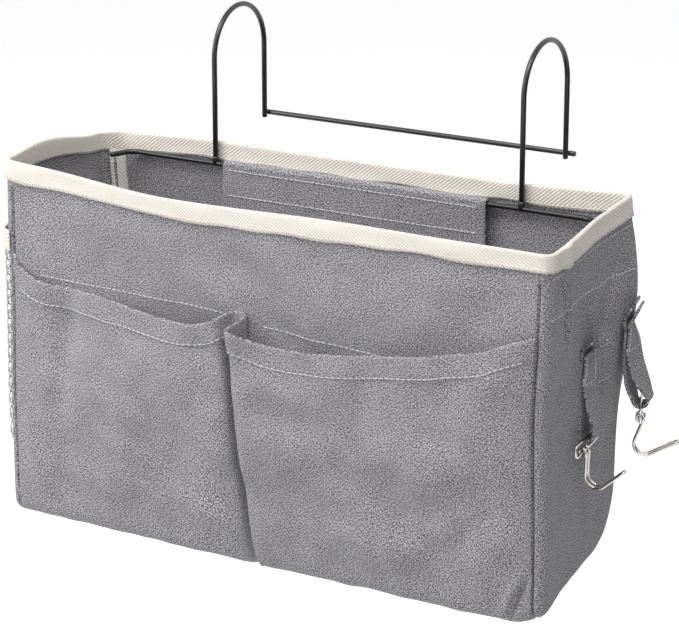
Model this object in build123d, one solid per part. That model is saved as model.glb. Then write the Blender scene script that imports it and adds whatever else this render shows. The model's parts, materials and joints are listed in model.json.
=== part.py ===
"""Hanging bedside caddy: a canvas box bag that hangs on a wire hanger with two rail hooks.

Drawn in the bag's own axes, in millimetres: X across, Y from front to back, Z up, with Z = 0 at the
bottom of the front edge.  The parts are moved to the rail saddle, under the arches of the two
hooks, when they are written.
"""
import os
from math import cos, radians, sin, sqrt, tan

from build123d import *

# ---- Bag: driving dimensions ---------------------------------------------------------------------
BAG_WIDTH = 320.0
BAG_DEPTH = 100.0
BAG_HEIGHT = 200.0          # to the top of the binding
CLOTH = 1.2                 # canvas
TAPE = 0.8                  # twill tape
TAPE_DEPTH = 11.0           # how far the binding comes down each side
SEAM_TAPE_WIDTH = 8.0
CORNER_RADIUS = 6.0         # upright and lower edges of the two ends
FRONT_ROLL = 8.0            # front panel into base
BACK_ROLL = 35.0            # base into back panel
BASE_SLOPE = 12.6           # degrees, the base climbs towards the back
GAP = 0.3                   # running clearance between pieces that move on each other

# ---- Front pockets -------------------------------------------------------------------------------
POCKET_CLOTH = 1.0
POCKET_BOTTOM = 12.0
POCKET_SWELL = 13.0         # how far the mouth stands off the panel
POCKET_HEM_SWELL = 2.4      # the same at the bottom seam
POCKET_CENTRE = -4.0        # seam between the two pockets
POCKET_SEAM_GAP = 1.0
POCKET_GUSSET = 9.0         # width of the fold beside the centre seam
POCKET_MOUTH_DROP = 49.0    # rim to the mouth at the end seams
POCKET_SAG_DROP = 71.0      # rim to the lowest point of the mouth
POCKET_CENTRE_DROP = 65.0   # rim to the left mouth at the centre seam
BILLOW_STEPS = (0, 22, 45, 67, 90)      # degrees, flats that stand for a pocket's bulge
FOLD_STEPS = (60, 30, 0)                # the same for its gusset

# ---- Net pocket on the left end ------------------------------------------------------------------
MESH = 0.8
MESH_BOTTOM = 43.0
MESH_DROP = 38.5            # rim to the mouth
MESH_TAPE_DEPTH = 12.0
MESH_SWELL = 8.0
MESH_MARGIN = 7.0           # kept clear of the end's rounded edges

# ---- Hanger --------------------------------------------------------------------------------------
WIRE = 3.0
WIRE_SIDES = 12             # flats that stand for the round of a bent wire
HOOK_SPAN = 190.0           # between the two hooks
HOOK_OFFSET = 7.0           # middle of the hooks to the right of the bag's middle
ARCH_RADIUS = 26.6          # wire centreline
ARCH_HEIGHT = 85.5          # bar to the top of the arch, centreline
CROSSBAR_HEIGHT = 17.8      # above the bar
CROSSBAR_RIGHT_END = 3.3    # past the right leg
LEG_TAIL = 2.7              # rear legs below the crossbar
WELD_SINK = 0.3             # how far crossing wires are pressed into each other
COLLAR = 2.1                # radius of the weld at the foot of an upright
BAR_DROP = 12.5             # bar below the top of the binding
BAR_END_ROOM = 10.0         # tip of the bent ends to the outside of the bag's end
BAR_BEND_FORWARD = 14.0
BAR_BEND_OUT = 6.0
BAR_BEND_RADIUS = 8.0

# ---- Retaining flap ------------------------------------------------------------------------------
FLAP_CLOTH = 1.0
FLAP_LEFT_ROOM = 6.5        # left hook to the flap
FLAP_RIGHT_ROOM = 20.0      # flap to the right hook
FLAP_DROP = 38.0            # below the bar
HEADING = 0.8               # turned edge that carries the flap over the bar
HEADING_HEIGHT = 8.0
FASTENER_TOP = 17.5         # below the bar
FASTENER_HEIGHT = 18.0
FASTENER_MARGIN = 6.0       # in from the flap's ends
LOOP_TAPE = 2.0

# ---- Straps, rings and J hooks on the right end --------------------------------------------------
STRAP_WIDTH = 13.0
STRAP_CLOTH = 1.2
STRAP_SLOT = 5.0            # room in the fold
STRAP_DROP = 46.0           # stitch to fold
EAR_RISE = 11.0
EAR_OUT = 9.0
STITCH_TAB = 3.0            # half the height that is sewn down
RING_WIRE = 1.6
THIN_WIRE_SIDES = 8         # the same for the rings and J hooks
RING_LENGTH = 29.0
RING_HEIGHT = 8.4
RING_SHIFT = 4.5            # ring's middle forward of the strap's middle
HOOK_WIRE = 1.6
HOOK_STRANDS = 5.0          # between the two strands
HOOK_FORWARD = 3.2          # hook's middle forward of the ring's middle
HOOK_EYE_CLEARANCE = 0.35
SHANK = 29.0
LIP = 30.0
HOOK_ANGLE = 46.0           # between shank and lip
HOOK_BEND = 5.0

FRONT_STRAP_OFFSET = 3.0    # behind the middle of the end
REAR_STRAP_INSET = 14.0     # in front of the back wall
FRONT_STITCH_DROP = 70.0    # rim to the stitches
REAR_STITCH_DROP = 63.5

# ---- Worked-out places ---------------------------------------------------------------------------
FRONT = -BAG_DEPTH / 2
BACK = BAG_DEPTH / 2
SEAM_X = BAG_WIDTH / 2 - CORNER_RADIUS
WALL_TOP = BAG_HEIGHT - TAPE
BINDING_LOW = BAG_HEIGHT - TAPE_DEPTH
POCKET_MOUTH_END = BAG_HEIGHT - POCKET_MOUTH_DROP
POCKET_MOUTH_LOW = BAG_HEIGHT - POCKET_SAG_DROP
POCKET_MOUTH_CENTRE = BAG_HEIGHT - POCKET_CENTRE_DROP
MESH_TOP = BAG_HEIGHT - MESH_DROP
WIRE_RADIUS = WIRE / 2
BINDING_FACE = BACK - CLOTH - TAPE                  # inner face of the binding on the back wall
BAR_Y = BINDING_FACE - GAP - COLLAR
BAR_Z = BAG_HEIGHT - BAR_DROP
REAR_LEG_Y = BAR_Y + 2 * ARCH_RADIUS
ARCH_CENTRE_Z = BAR_Z + ARCH_HEIGHT - ARCH_RADIUS
LEFT_HOOK_X = HOOK_OFFSET - HOOK_SPAN / 2
RIGHT_HOOK_X = HOOK_OFFSET + HOOK_SPAN / 2
CROSSBAR_Z = BAR_Z + CROSSBAR_HEIGHT
BAR_REACH = BAG_WIDTH / 2 - BAR_END_ROOM
FLAP_LEFT = LEFT_HOOK_X + FLAP_LEFT_ROOM
FLAP_RIGHT = RIGHT_HOOK_X - FLAP_RIGHT_ROOM
FLAP_WRAP = WIRE_RADIUS + GAP + FLAP_CLOTH / 2      # from the bar's axis to the middle of the cloth
FLAP_HINGE_Y = BAR_Y - FLAP_WRAP
FLAP_HINGE_Z = BAR_Z + FLAP_WRAP
RAIL_SADDLE = (HOOK_OFFSET, BAR_Y + ARCH_RADIUS, BAR_Z + ARCH_HEIGHT - WIRE_RADIUS)

# Strap places: distance along the end and height of the stitch, then, in degrees, the tilt, yaw and
# lean of the loop, the ring's own tilt (sling) and turn (twist) in the fold, and the slant of the
# hook's shank towards the end.
FRONT_STRAP = {
    "y": FRONT_STRAP_OFFSET, "stitch": BAG_HEIGHT - FRONT_STITCH_DROP,
    "tilt": 2.0, "yaw": 0.0, "lean": 0.0, "sling": 7.0, "twist": 0.0, "shank": 2.0,
}
REAR_STRAP = {
    "y": BACK - REAR_STRAP_INSET, "stitch": BAG_HEIGHT - REAR_STITCH_DROP,
    "tilt": 0.0, "yaw": 14.0, "lean": 18.0, "sling": 3.0, "twist": 8.0, "shank": 16.0,
}


def block(x_low, x_high, y_low, y_high, z_low, z_high):
    """Plain box between two corners."""
    box = Box(x_high - x_low, y_high - y_low, z_high - z_low)
    return Pos((x_low + x_high) / 2, (y_low + y_high) / 2, (z_low + z_high) / 2) * box


def rod(start, end, radius):
    """Straight round rod between two points."""
    span = Vector(end) - Vector(start)
    return extrude(Plane(origin=start, z_dir=span) * Circle(radius), amount=span.length)


def wire(path, radius):
    """Round wire along a path."""
    return sweep(Plane(origin=path @ 0, z_dir=path % 0) * Circle(radius), path=path)


def flat_sided_wire(path, radius, sides):
    """Wire along a path with flats for its round, where a full round would take too many facets."""
    section = Rot(0, 0, 180 / sides) * RegularPolygon(radius, sides)
    return sweep(Plane(origin=path @ 0, z_dir=path % 0) * section, path=path)


# ---- Bag body ------------------------------------------------------------------------------------
def roll_seam(radius, turn):
    """Distance from a filleted corner to where the fillet starts."""
    return radius * tan(radians(turn) / 2)


BASE_RISE = BAG_DEPTH * tan(radians(BASE_SLOPE))
FRONT_SEAM_Z = roll_seam(FRONT_ROLL, 90 + BASE_SLOPE)
BACK_SEAM_Z = BASE_RISE + roll_seam(BACK_ROLL, 90 - BASE_SLOPE)


def side_profile(inset, top):
    """Side view of the bag, this far inside its outer surface."""
    lift = inset / cos(radians(BASE_SLOPE))
    slope = tan(radians(BASE_SLOPE))
    front = FRONT + inset
    back = BACK - inset
    front_low = lift + inset * slope
    back_low = lift + (BAG_DEPTH - inset) * slope
    outline = FilletPolyline(
        (front, top),
        (front, front_low),
        (back, back_low),
        (back, top),
        radius=[0, FRONT_ROLL - inset, BACK_ROLL - inset, 0],
        close=True,
    )
    return Plane.YZ * make_face(outline)


def bag_block(inset, top):
    """Solid of the bag's form, this far inside its outer surface, with rounded ends."""
    solid = extrude(side_profile(inset, top), amount=BAG_WIDTH / 2 - inset, both=True)
    ends = solid.faces().filter_by(Axis.X)
    rims = [edge for face in ends for edge in face.edges() if edge.center().Z < top - GAP]
    return fillet(rims, CORNER_RADIUS - inset)


def seam_tape(x_low, x_high):
    """Tape over an end seam, up the front, across the base and up the back, inside the bag."""
    band = side_profile(CLOTH, BINDING_LOW) - side_profile(CLOTH + TAPE, BAG_HEIGHT)
    return extrude(band, amount=SEAM_TAPE_WIDTH).moved(Pos(x_low, 0, 0)) & block(
        x_low, x_high, FRONT, BACK, -1, BAG_HEIGHT
    )


def plan(inset, z_low, z_high):
    """Upright block with the bag's outline from above, this far inside it."""
    outline = RectangleRounded(BAG_WIDTH - 2 * inset, BAG_DEPTH - 2 * inset, CORNER_RADIUS - inset)
    return extrude(Pos(0, 0, z_low) * outline, amount=z_high - z_low)


def rim_binding():
    """Tape folded over the top edge of all four walls."""
    folded = plan(-TAPE, BINDING_LOW, BAG_HEIGHT) - plan(CLOTH + TAPE, 0, BAG_HEIGHT + 1)
    wall = plan(0, 0, WALL_TOP) - plan(CLOTH, -1, BAG_HEIGHT)
    return folded - wall


def bag_panels():
    """The five canvas panels, cut from one shell along their seams."""
    shell = bag_block(0, WALL_TOP) - bag_block(CLOTH, BAG_HEIGHT + CLOTH)
    half = BAG_WIDTH / 2 + 1
    middle = shell & block(-SEAM_X, SEAM_X, FRONT - 1, BACK + 1, -1, BAG_HEIGHT)
    front = block(-half, half, FRONT - 1, FRONT + FRONT_ROLL, FRONT_SEAM_Z, BAG_HEIGHT)
    back = block(-half, half, 0, BACK + 1, BACK_SEAM_Z, BAG_HEIGHT)
    return {
        "front_panel": middle & front,
        "back_panel": middle & back,
        "base_panel": middle - front - back,
        "left_side_panel": shell & block(-half, -SEAM_X, FRONT - 1, BACK + 1, -1, BAG_HEIGHT),
        "right_side_panel": shell & block(SEAM_X, half, FRONT - 1, BACK + 1, -1, BAG_HEIGHT),
    }


# ---- Pockets -------------------------------------------------------------------------------------
def pocket_outline(near, far, gusset, swell, inset):
    """Plan of a pocket that grows from the panel at x = near and folds back to it at x = far.

    Here x runs along the panel and y stands off it.
    """
    way = 1 if far > near else -1
    start = near + way * inset
    peak = far - way * gusset
    stand = swell - inset
    points = []
    for angle in BILLOW_STEPS:
        points.append((start + (peak - start) * angle / 90, stand * sin(radians(angle))))
    for angle in FOLD_STEPS:
        fold = way * (gusset - inset) * cos(radians(angle))
        points.append((peak + fold, stand * sin(radians(angle))))
    return make_face(Polyline(*points, close=True))


def pocket_shell(near, far, gusset, swell, bottom, top, cloth):
    """Thin open-topped pocket, flat at its bottom seam and full at its mouth."""
    def body(inset):
        middle = bottom + 0.45 * (top - bottom)
        levels = ((bottom + inset, POCKET_HEM_SWELL), (middle, 0.62 * swell), (top, swell))
        outlines = []
        for z, reach in levels:
            outlines.append(Pos(0, 0, z) * pocket_outline(near, far, gusset, reach, inset))
        return loft(outlines, ruled=True)

    return body(0) - body(cloth)


ON_FRONT = Pos(0, FRONT, 0) * Rot(0, 0, 180)
ON_LEFT_END = Pos(-BAG_WIDTH / 2, 0, 0) * Rot(0, 0, 90)


def below_mouth(*mouth):
    """Everything in front of the bag that lies under a pocket's mouth line."""
    first, last = mouth[0], mouth[-1]
    line = Spline(*mouth)
    under = make_face(line + Polyline(last, (last[0], 0), (first[0], 0), first))
    return extrude(Plane.XZ * under, amount=BAG_DEPTH)


def front_pockets():
    """The two front pockets, one on each side of the centre seam."""
    left_inner = POCKET_CENTRE - POCKET_SEAM_GAP / 2
    right_inner = POCKET_CENTRE + POCKET_SEAM_GAP / 2
    mouth_top = POCKET_MOUTH_END + CLOTH
    sizes = (POCKET_GUSSET, POCKET_SWELL, POCKET_BOTTOM, mouth_top, POCKET_CLOTH)
    left = ON_FRONT * pocket_shell(SEAM_X, -left_inner, *sizes)
    right = ON_FRONT * pocket_shell(-SEAM_X, -right_inner, *sizes)
    left_width = left_inner + SEAM_X
    right_width = SEAM_X - right_inner
    left_mouth = below_mouth(
        (-SEAM_X - 1, POCKET_MOUTH_END),
        (-SEAM_X + 0.20 * left_width, POCKET_MOUTH_LOW + 9),
        (-SEAM_X + 0.65 * left_width, POCKET_MOUTH_LOW + 1),
        (left_inner + POCKET_SEAM_GAP / 2, POCKET_MOUTH_CENTRE),
    )
    right_mouth = below_mouth(
        (right_inner - POCKET_SEAM_GAP / 2, POCKET_MOUTH_LOW + 2),
        (right_inner + 0.25 * right_width, POCKET_MOUTH_LOW),
        (right_inner + 0.70 * right_width, POCKET_MOUTH_LOW + 6),
        (SEAM_X + 1, POCKET_MOUTH_END),
    )
    return {"left_pocket": left & left_mouth, "right_pocket": right & right_mouth}


def mesh_pocket():
    """Net pocket on the left end, and the tape along its mouth."""
    front = FRONT + CORNER_RADIUS + POCKET_CLOTH
    back = BACK - MESH_MARGIN
    net = ON_LEFT_END * pocket_shell(back, front, MESH_MARGIN, MESH_SWELL, MESH_BOTTOM, MESH_TOP, MESH)
    tape_zone = block(-BAG_WIDTH, 0, FRONT, BACK, MESH_TOP - MESH_TAPE_DEPTH, MESH_TOP)
    return {"mesh_pocket": net - tape_zone, "mesh_pocket_tape": net & tape_zone}


# ---- Hanger --------------------------------------------------------------------------------------
def lower_bar():
    """Bar inside the bag, with both ends bent forward."""
    bend_x = BAR_REACH - BAR_BEND_OUT
    path = FilletPolyline(
        (-BAR_REACH, BAR_Y - BAR_BEND_FORWARD, BAR_Z),
        (-bend_x, BAR_Y, BAR_Z),
        (bend_x, BAR_Y, BAR_Z),
        (BAR_REACH, BAR_Y - BAR_BEND_FORWARD, BAR_Z),
        radius=BAR_BEND_RADIUS,
    )
    return wire(path, WIRE_RADIUS)


def hook_wire(x, bar):
    """One rail hook: upright from the bar, arch, rear leg and the weld at its foot."""
    foot = (x, BAR_Y, BAR_Z)
    shoulder = (x, BAR_Y, ARCH_CENTRE_Z)
    crown = (x, BAR_Y + ARCH_RADIUS, ARCH_CENTRE_Z + ARCH_RADIUS)
    far_shoulder = (x, REAR_LEG_Y, ARCH_CENTRE_Z)
    tail = (x, REAR_LEG_Y, CROSSBAR_Z - LEG_TAIL)
    path = Line(foot, shoulder) + ThreePointArc(shoulder, crown, far_shoulder) + Line(far_shoulder, tail)
    weld_height = COLLAR + WIRE_RADIUS
    weld = Pos(x, BAR_Y, BAR_Z + weld_height / 2) * Cone(COLLAR, WIRE_RADIUS, weld_height)
    return flat_sided_wire(Wire(path.edges()), WIRE_RADIUS, WIRE_SIDES) + weld - bar


def rear_crossbar(hooks):
    """Rod behind the two rear legs, pressed a little into them where it is welded."""
    y = REAR_LEG_Y + WIRE - WELD_SINK
    start = (LEFT_HOOK_X - WIRE_RADIUS, y, CROSSBAR_Z)
    end = (RIGHT_HOOK_X + WIRE_RADIUS + CROSSBAR_RIGHT_END, y, CROSSBAR_Z)
    return rod(start, end, WIRE_RADIUS) - hooks


# ---- Retaining flap ------------------------------------------------------------------------------
def retaining_flap():
    """Cloth that hangs in front of the bar from the fold over it."""
    front = FLAP_HINGE_Y - FLAP_CLOTH / 2
    hanging = block(
        FLAP_LEFT, FLAP_RIGHT, front, front + FLAP_CLOTH, BAR_Z - FLAP_DROP, FLAP_HINGE_Z
    )
    fold = rod(
        (FLAP_LEFT, FLAP_HINGE_Y, FLAP_HINGE_Z), (FLAP_RIGHT, FLAP_HINGE_Y, FLAP_HINGE_Z), FLAP_CLOTH / 2
    )
    return hanging + fold


def flap_heading():
    """Flap's upper edge: sewn to the back wall over the binding and turned forward over the bar."""
    low = BAR_Z + WIRE_RADIUS + GAP + HEADING / 2
    wall = BINDING_FACE - HEADING / 2
    path = FilletPolyline(
        (wall, low + HEADING_HEIGHT),
        (wall, low),
        (FLAP_HINGE_Y + FLAP_CLOTH / 2 + GAP, low),
        radius=HEADING,
    )
    section = trace(path, line_width=HEADING)
    return Pos(FLAP_LEFT, 0, 0) * extrude(Plane.YZ * section, amount=FLAP_RIGHT - FLAP_LEFT)


def fastener_tapes():
    """Loop tape on the back of the flap and hook tape on the back wall, facing each other."""
    flap_face = BAR_Y - WIRE_RADIUS - GAP
    top = BAR_Z - FASTENER_TOP
    left = FLAP_LEFT + FASTENER_MARGIN
    right = FLAP_RIGHT - FASTENER_MARGIN
    meet = flap_face + LOOP_TAPE
    return {
        "loop_tape": block(left, right, flap_face, meet, top - FASTENER_HEIGHT, top),
        "hook_tape": block(left, right, meet + GAP, BACK - CLOTH, top - FASTENER_HEIGHT, top),
    }


# ---- Straps, rings and J hooks -------------------------------------------------------------------
RING_RADIUS = RING_WIRE / 2
HOOK_RADIUS = HOOK_WIRE / 2
EYE_RADIUS = RING_RADIUS + HOOK_EYE_CLEARANCE + HOOK_RADIUS
RING_PITCH = RING_HEIGHT - RING_WIRE                # between the ring's two long sides


def stitch_frame(place):
    """Where a strap is sewn to the right end."""
    return Pos(BAG_WIDTH / 2, place["y"], place["stitch"]) * Rot(place["tilt"], 0, 0)


def loop_frame(place):
    """The same, turned to the way the strap's loop hangs."""
    return stitch_frame(place) * Rot(0, 0, place["yaw"]) * Rot(0, -place["lean"], 0)


def ring_seat(place):
    """Middle of the ring's upper side in the fold, as low as its tilt and turn let it lie."""
    room = STRAP_SLOT / 2 - GAP - RING_RADIUS
    aside = STRAP_WIDTH / 2 * tan(radians(place["twist"]))
    dip = sqrt(max(room**2 - aside**2, 0))
    fold_centre = -STRAP_DROP + (STRAP_SLOT + STRAP_CLOTH) / 2
    lift = STRAP_WIDTH / 2 * sin(radians(place["sling"]))
    return Pos(STRAP_CLOTH + STRAP_SLOT / 2, 0, fold_centre - dip + lift)


def ring_frame(place):
    """On the ring's upper side in the fold of the strap, with Y along the ring."""
    seat = (loop_frame(place) * ring_seat(place)).position
    turn = Rot(0, 0, place["yaw"] + place["twist"]) * Rot(place["tilt"] + place["sling"], 0, 0)
    return Pos(seat) * turn


def hook_frame(place):
    """On the ring's lower side between the hook's two eyes, with Y along the ring."""
    return ring_frame(place) * Pos(0, -RING_SHIFT - HOOK_FORWARD, -RING_PITCH)


def strap(place, outer_form):
    """Folded strap: two layers sewn to the end, open in the fold, with its ends turned out."""
    inner = STRAP_CLOTH / 2
    outer = inner + 1.1 * STRAP_CLOTH
    fold = inner + STRAP_CLOTH + STRAP_SLOT
    path = FilletPolyline(
        (inner + EAR_OUT, EAR_RISE),
        (inner, STITCH_TAB),
        (inner, -STRAP_DROP),
        (fold, -STRAP_DROP),
        (outer, 0),
        (outer + EAR_OUT, EAR_RISE - STITCH_TAB),
        radius=[1.5, 0.45 * (fold - inner), 0.45 * (fold - inner), 1.5],
    )
    section = trace(path, line_width=STRAP_CLOTH)
    cloth = extrude(Plane.XZ * section, amount=STRAP_WIDTH / 2, both=True)
    tab = block(0, STRAP_CLOTH, -STRAP_WIDTH / 2, STRAP_WIDTH / 2, -2 * STITCH_TAB, 2 * STITCH_TAB)
    return (loop_frame(place) * cloth + stitch_frame(place) * tab) - outer_form


def ring(place):
    """Narrow oblong wire ring, drawn round the middle of its upper side."""
    half = (RING_LENGTH - RING_WIRE) / 2
    bend = 0.45 * RING_PITCH
    straight = half - bend
    solid = None
    for way in (-1, 1):
        end = FilletPolyline(
            (0, way * straight, 0),
            (0, way * half, 0),
            (0, way * half, -RING_PITCH),
            (0, way * straight, -RING_PITCH),
            radius=0.999 * bend,
        )
        piece = flat_sided_wire(end, RING_RADIUS, THIN_WIRE_SIDES)
        solid = piece if solid is None else solid + piece
    for z in (0, -RING_PITCH):
        solid = solid + rod((0, -straight, z), (0, straight, z), RING_RADIUS)
    return ring_frame(place) * Pos(0, -RING_SHIFT, 0) * solid


def j_hook(place):
    """Hairpin J hook: two strands with an eye each, bent to a lip and joined at the tip."""
    shank_way = Vector(-sin(radians(place["shank"])), 0, -cos(radians(place["shank"])))
    lip_turn = 90 - place["shank"] - HOOK_ANGLE
    lip_way = Vector(cos(radians(lip_turn)), 0, sin(radians(lip_turn)))
    corner = shank_way * SHANK
    tip = corner + lip_way * LIP
    side = Vector(-shank_way.Z, 0, shank_way.X) * EYE_RADIUS
    half = HOOK_STRANDS / 2
    section = Rot(0, 0, 180 / THIN_WIRE_SIDES) * RegularPolygon(HOOK_RADIUS, THIN_WIRE_SIDES)
    eye_ring = revolve(Plane.XY * Pos(EYE_RADIUS, 0) * section, axis=Axis.Y)
    solid = None
    for y in (-half, half):
        shift = Vector(0, y, 0)
        path = FilletPolyline(side + shift, side + corner + shift, tip + shift, radius=HOOK_BEND)
        strand = flat_sided_wire(path, HOOK_RADIUS, THIN_WIRE_SIDES)
        eye = Pos(0, y, 0) * eye_ring
        solid = strand + eye if solid is None else solid + strand + eye
    across = Plane(origin=tip, x_dir=(0, 1, 0), z_dir=lip_way)
    turn = Axis(tip, lip_way.cross(Vector(0, 1, 0)))
    end = revolve(across * Pos(-half, 0) * section, axis=turn, revolution_arc=180)
    return hook_frame(place) * (solid + end)


# ---- Assembly ------------------------------------------------------------------------------------
def assembly():
    """Every piece by name, in the bag's own axes."""
    bar = lower_bar()
    left_hook = hook_wire(LEFT_HOOK_X, bar)
    right_hook = hook_wire(RIGHT_HOOK_X, bar)
    outer_form = bag_block(0, WALL_TOP)
    pieces = {
        "lower_bar": bar,
        "left_hook_wire": left_hook,
        "right_hook_wire": right_hook,
        "rear_crossbar": rear_crossbar(left_hook + right_hook),
        "rim_binding": rim_binding(),
        "left_seam_tape": seam_tape(-SEAM_X, -SEAM_X + SEAM_TAPE_WIDTH),
        "right_seam_tape": seam_tape(SEAM_X - SEAM_TAPE_WIDTH, SEAM_X),
        "flap_heading": flap_heading(),
        "retaining_flap": retaining_flap(),
    }
    pieces.update(bag_panels())
    pieces.update(front_pockets())
    pieces.update(mesh_pocket())
    pieces.update(fastener_tapes())
    for name, place in (("front", FRONT_STRAP), ("rear", REAR_STRAP)):
        pieces[name + "_strap"] = strap(place, outer_form)
        pieces[name + "_ring"] = ring(place)
        pieces[name + "_hook"] = j_hook(place)
    return pieces


os.makedirs("parts", exist_ok=True)
to_saddle = Pos(*[-value for value in RAIL_SADDLE])
for node, shape in assembly().items():
    export_step(to_saddle * shape, "parts/" + node + ".step")
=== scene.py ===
"""Looks of the hanging bedside caddy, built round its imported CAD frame.

Soft pieces are drawn in the bag's own axes in millimetres (X across, Y front to back, Z up from the
bottom of the front edge), slackened by one shared deformation, and then moved to the frame.
"""
import json
import math

import bpy
import numpy as np
from mathutils import Matrix, Vector


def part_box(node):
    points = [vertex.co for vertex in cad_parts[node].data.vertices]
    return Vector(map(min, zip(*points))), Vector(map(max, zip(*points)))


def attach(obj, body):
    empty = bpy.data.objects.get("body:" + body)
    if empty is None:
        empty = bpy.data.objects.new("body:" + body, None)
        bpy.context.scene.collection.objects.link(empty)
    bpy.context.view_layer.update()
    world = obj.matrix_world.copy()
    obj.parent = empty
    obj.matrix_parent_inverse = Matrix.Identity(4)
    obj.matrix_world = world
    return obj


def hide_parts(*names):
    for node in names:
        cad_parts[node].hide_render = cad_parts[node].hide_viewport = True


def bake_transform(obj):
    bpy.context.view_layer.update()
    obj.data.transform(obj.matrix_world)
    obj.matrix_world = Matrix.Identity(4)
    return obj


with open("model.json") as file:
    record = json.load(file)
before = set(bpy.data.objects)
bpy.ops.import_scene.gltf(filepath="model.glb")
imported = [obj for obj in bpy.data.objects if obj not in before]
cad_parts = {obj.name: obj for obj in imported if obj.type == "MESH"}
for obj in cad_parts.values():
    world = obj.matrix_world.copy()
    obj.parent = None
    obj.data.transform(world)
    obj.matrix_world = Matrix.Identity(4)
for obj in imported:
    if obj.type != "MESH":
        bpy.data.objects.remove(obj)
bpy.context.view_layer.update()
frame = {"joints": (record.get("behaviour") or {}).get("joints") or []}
MM = 0.001
TURN = 2 * math.pi


# ---- Small sums ----
def unit(vectors):
    """Vectors scaled to length 1."""
    vectors = np.asarray(vectors, float)
    return vectors / np.maximum(np.linalg.norm(vectors, axis=-1, keepdims=True), 1e-9)


def run_of(path):
    """Distance along a path at each of its points."""
    return np.concatenate([[0], np.cumsum(np.linalg.norm(np.diff(path, axis=0), axis=1))])


def read_off(at, run, values):
    """Columns of values at these distances along a run."""
    values = np.asarray(values, float)
    return np.stack([np.interp(at, run, column) for column in values.T], axis=-1)


def stacked(*parts):
    """Coordinates made from arrays that stretch to one shape."""
    return np.stack(np.broadcast_arrays(*parts), axis=-1)


def ease(value, low, high):
    """Smooth step from 0 at low to 1 at high."""
    t = np.clip((value - low) / (high - low), 0, 1)
    return t * t * (3 - 2 * t)


def bump(value, middle, spread):
    """Bell curve of height 1."""
    return np.exp(-(((value - middle) / spread) ** 2))


# ---- Sizes, most of them read from the frame ----
def node_box(name):
    """Lowest and highest corners of a CAD node, in millimetres in the row frame."""
    return [np.array(corner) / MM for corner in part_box(name)]


CORNER = 6.0
FRONT_ROLL = 8.0
BACK_ROLL = 35.0
BASE_SLOPE = math.radians(12.6)
CLOTH = 1.2
TAPE = 0.8
WIRE = 1.5

left_low, _ = node_box("left_side_panel")
right_low, right_high = node_box("right_side_panel")
rim_low, rim_high = node_box("rim_binding")
bar_low, bar_high = node_box("lower_bar")

FRONT_TANGENT = FRONT_ROLL * math.tan((math.pi / 2 + BASE_SLOPE) / 2)
WIDTH = right_high[0] - left_low[0]
DEPTH = right_high[1] - right_low[1]
HEIGHT = rim_high[2] - right_low[2] + FRONT_TANGENT - FRONT_ROLL
HOME = np.array(
    [(left_low[0] + right_high[0]) / 2, (right_low[1] + right_high[1]) / 2, rim_high[2] - HEIGHT]
)
TAPE_DEPTH = rim_high[2] - rim_low[2]
SEAM_X = WIDTH / 2 - CORNER
FRONT = -DEPTH / 2
BACK = DEPTH / 2
BINDING_LOW = HEIGHT - TAPE_DEPTH
WALL_TOP = HEIGHT - TAPE
BAR_Y = bar_high[1] - WIRE - HOME[1]
BAR_Z = (bar_low[2] + bar_high[2]) / 2 - HOME[2]


def node_span(name):
    """Lowest and highest corners of a CAD node in the bag's own axes."""
    low, high = node_box(name)
    return low - HOME, high - HOME


# ---- Shared slackness ----
def wave_field(seed, count, length):
    """Wave numbers and phases of a smooth random field with about this wavelength."""
    rng = np.random.RandomState(seed)
    direction = unit(rng.normal(size=(count, 3)))
    number = TURN / (length * rng.uniform(0.7, 1.5, count))
    return direction * number[:, None], rng.uniform(0, TURN, count)


def field(points, waves):
    """The field at each point, with a spread of about 1."""
    numbers, phases = waves
    flat = np.asarray(points, float).reshape(-1, 3)
    value = np.sin(flat @ numbers.T + phases).sum(axis=1) / math.sqrt(len(phases) / 2)
    return value.reshape(np.shape(points)[:-1])


BROAD = [wave_field(seed, 7, 110) for seed in (11, 12, 13)]
FOLDS = wave_field(21, 14, 46)
PUCKER = wave_field(31, 14, 15)

# How far the slack cloth moves, in millimetres. The windows in the code below are places in the
# bag's own axes; "across" runs from -1 at the left end to 1 at the right end.
FRONT_RIM_LIFT, FRONT_RIM_DIP, FRONT_RIM_CROWN = 1.0, 6.0, 0.7
BACK_RIM_LEFT_DIP, BACK_RIM_SAG, BACK_RIM_RIGHT_RISE = 2.6, 0.4, 2.8
LEFT_REAR_FORWARD, RIGHT_REAR_BACK = 8.0, 2.0
RIGHT_SEAM_OUT, RIGHT_SEAM_WAIST = 4.6, 1.6
LEFT_SEAM_OUT, LEFT_SEAM_LOW_OUT = 4.4, 2.6
LEFT_RIM_ARCH, LEFT_RIM_OUT = 4.4, 2.0
FLOOR_SAG, FLOOR_TILT, FLOOR_CORNER_KEPT = 6.4, 0.8, 0.9
REAR_RIGHT_TOP_OUT, REAR_RIGHT_OUT = 0.4, 4.6
RIGHT_SWELL, LEFT_HOLLOW = 5.0, 2.0
BROAD_SIZE = (0.5, 0.9, 0.5)
FOLD_SIZE, PUCKER_SIZE = 0.95, 0.2
BACK_STILLED, HOOKS_STILLED = 0.85, 0.8
FACING = 0.7

# Folds of the right end: height, place (y), slant, height it is taken at, width, middle (z), reach.
END_FOLDS = [
    (1.6, 12, 0.3, 165, 5, 163, 22),
    (-1.3, 26, 0.3, 165, 5, 160, 20),
    (1.1, -18, -0.15, 120, 6, 128, 26),
    (-1.2, -30, 0.0, 0, 9, 70, 40),
]
CREASE_DEPTH, CREASE_RIDGE = 2.2, 1.7
PLEAT_DEPTH, PLEAT_RIDGE = 2.6, 2.4


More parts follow.
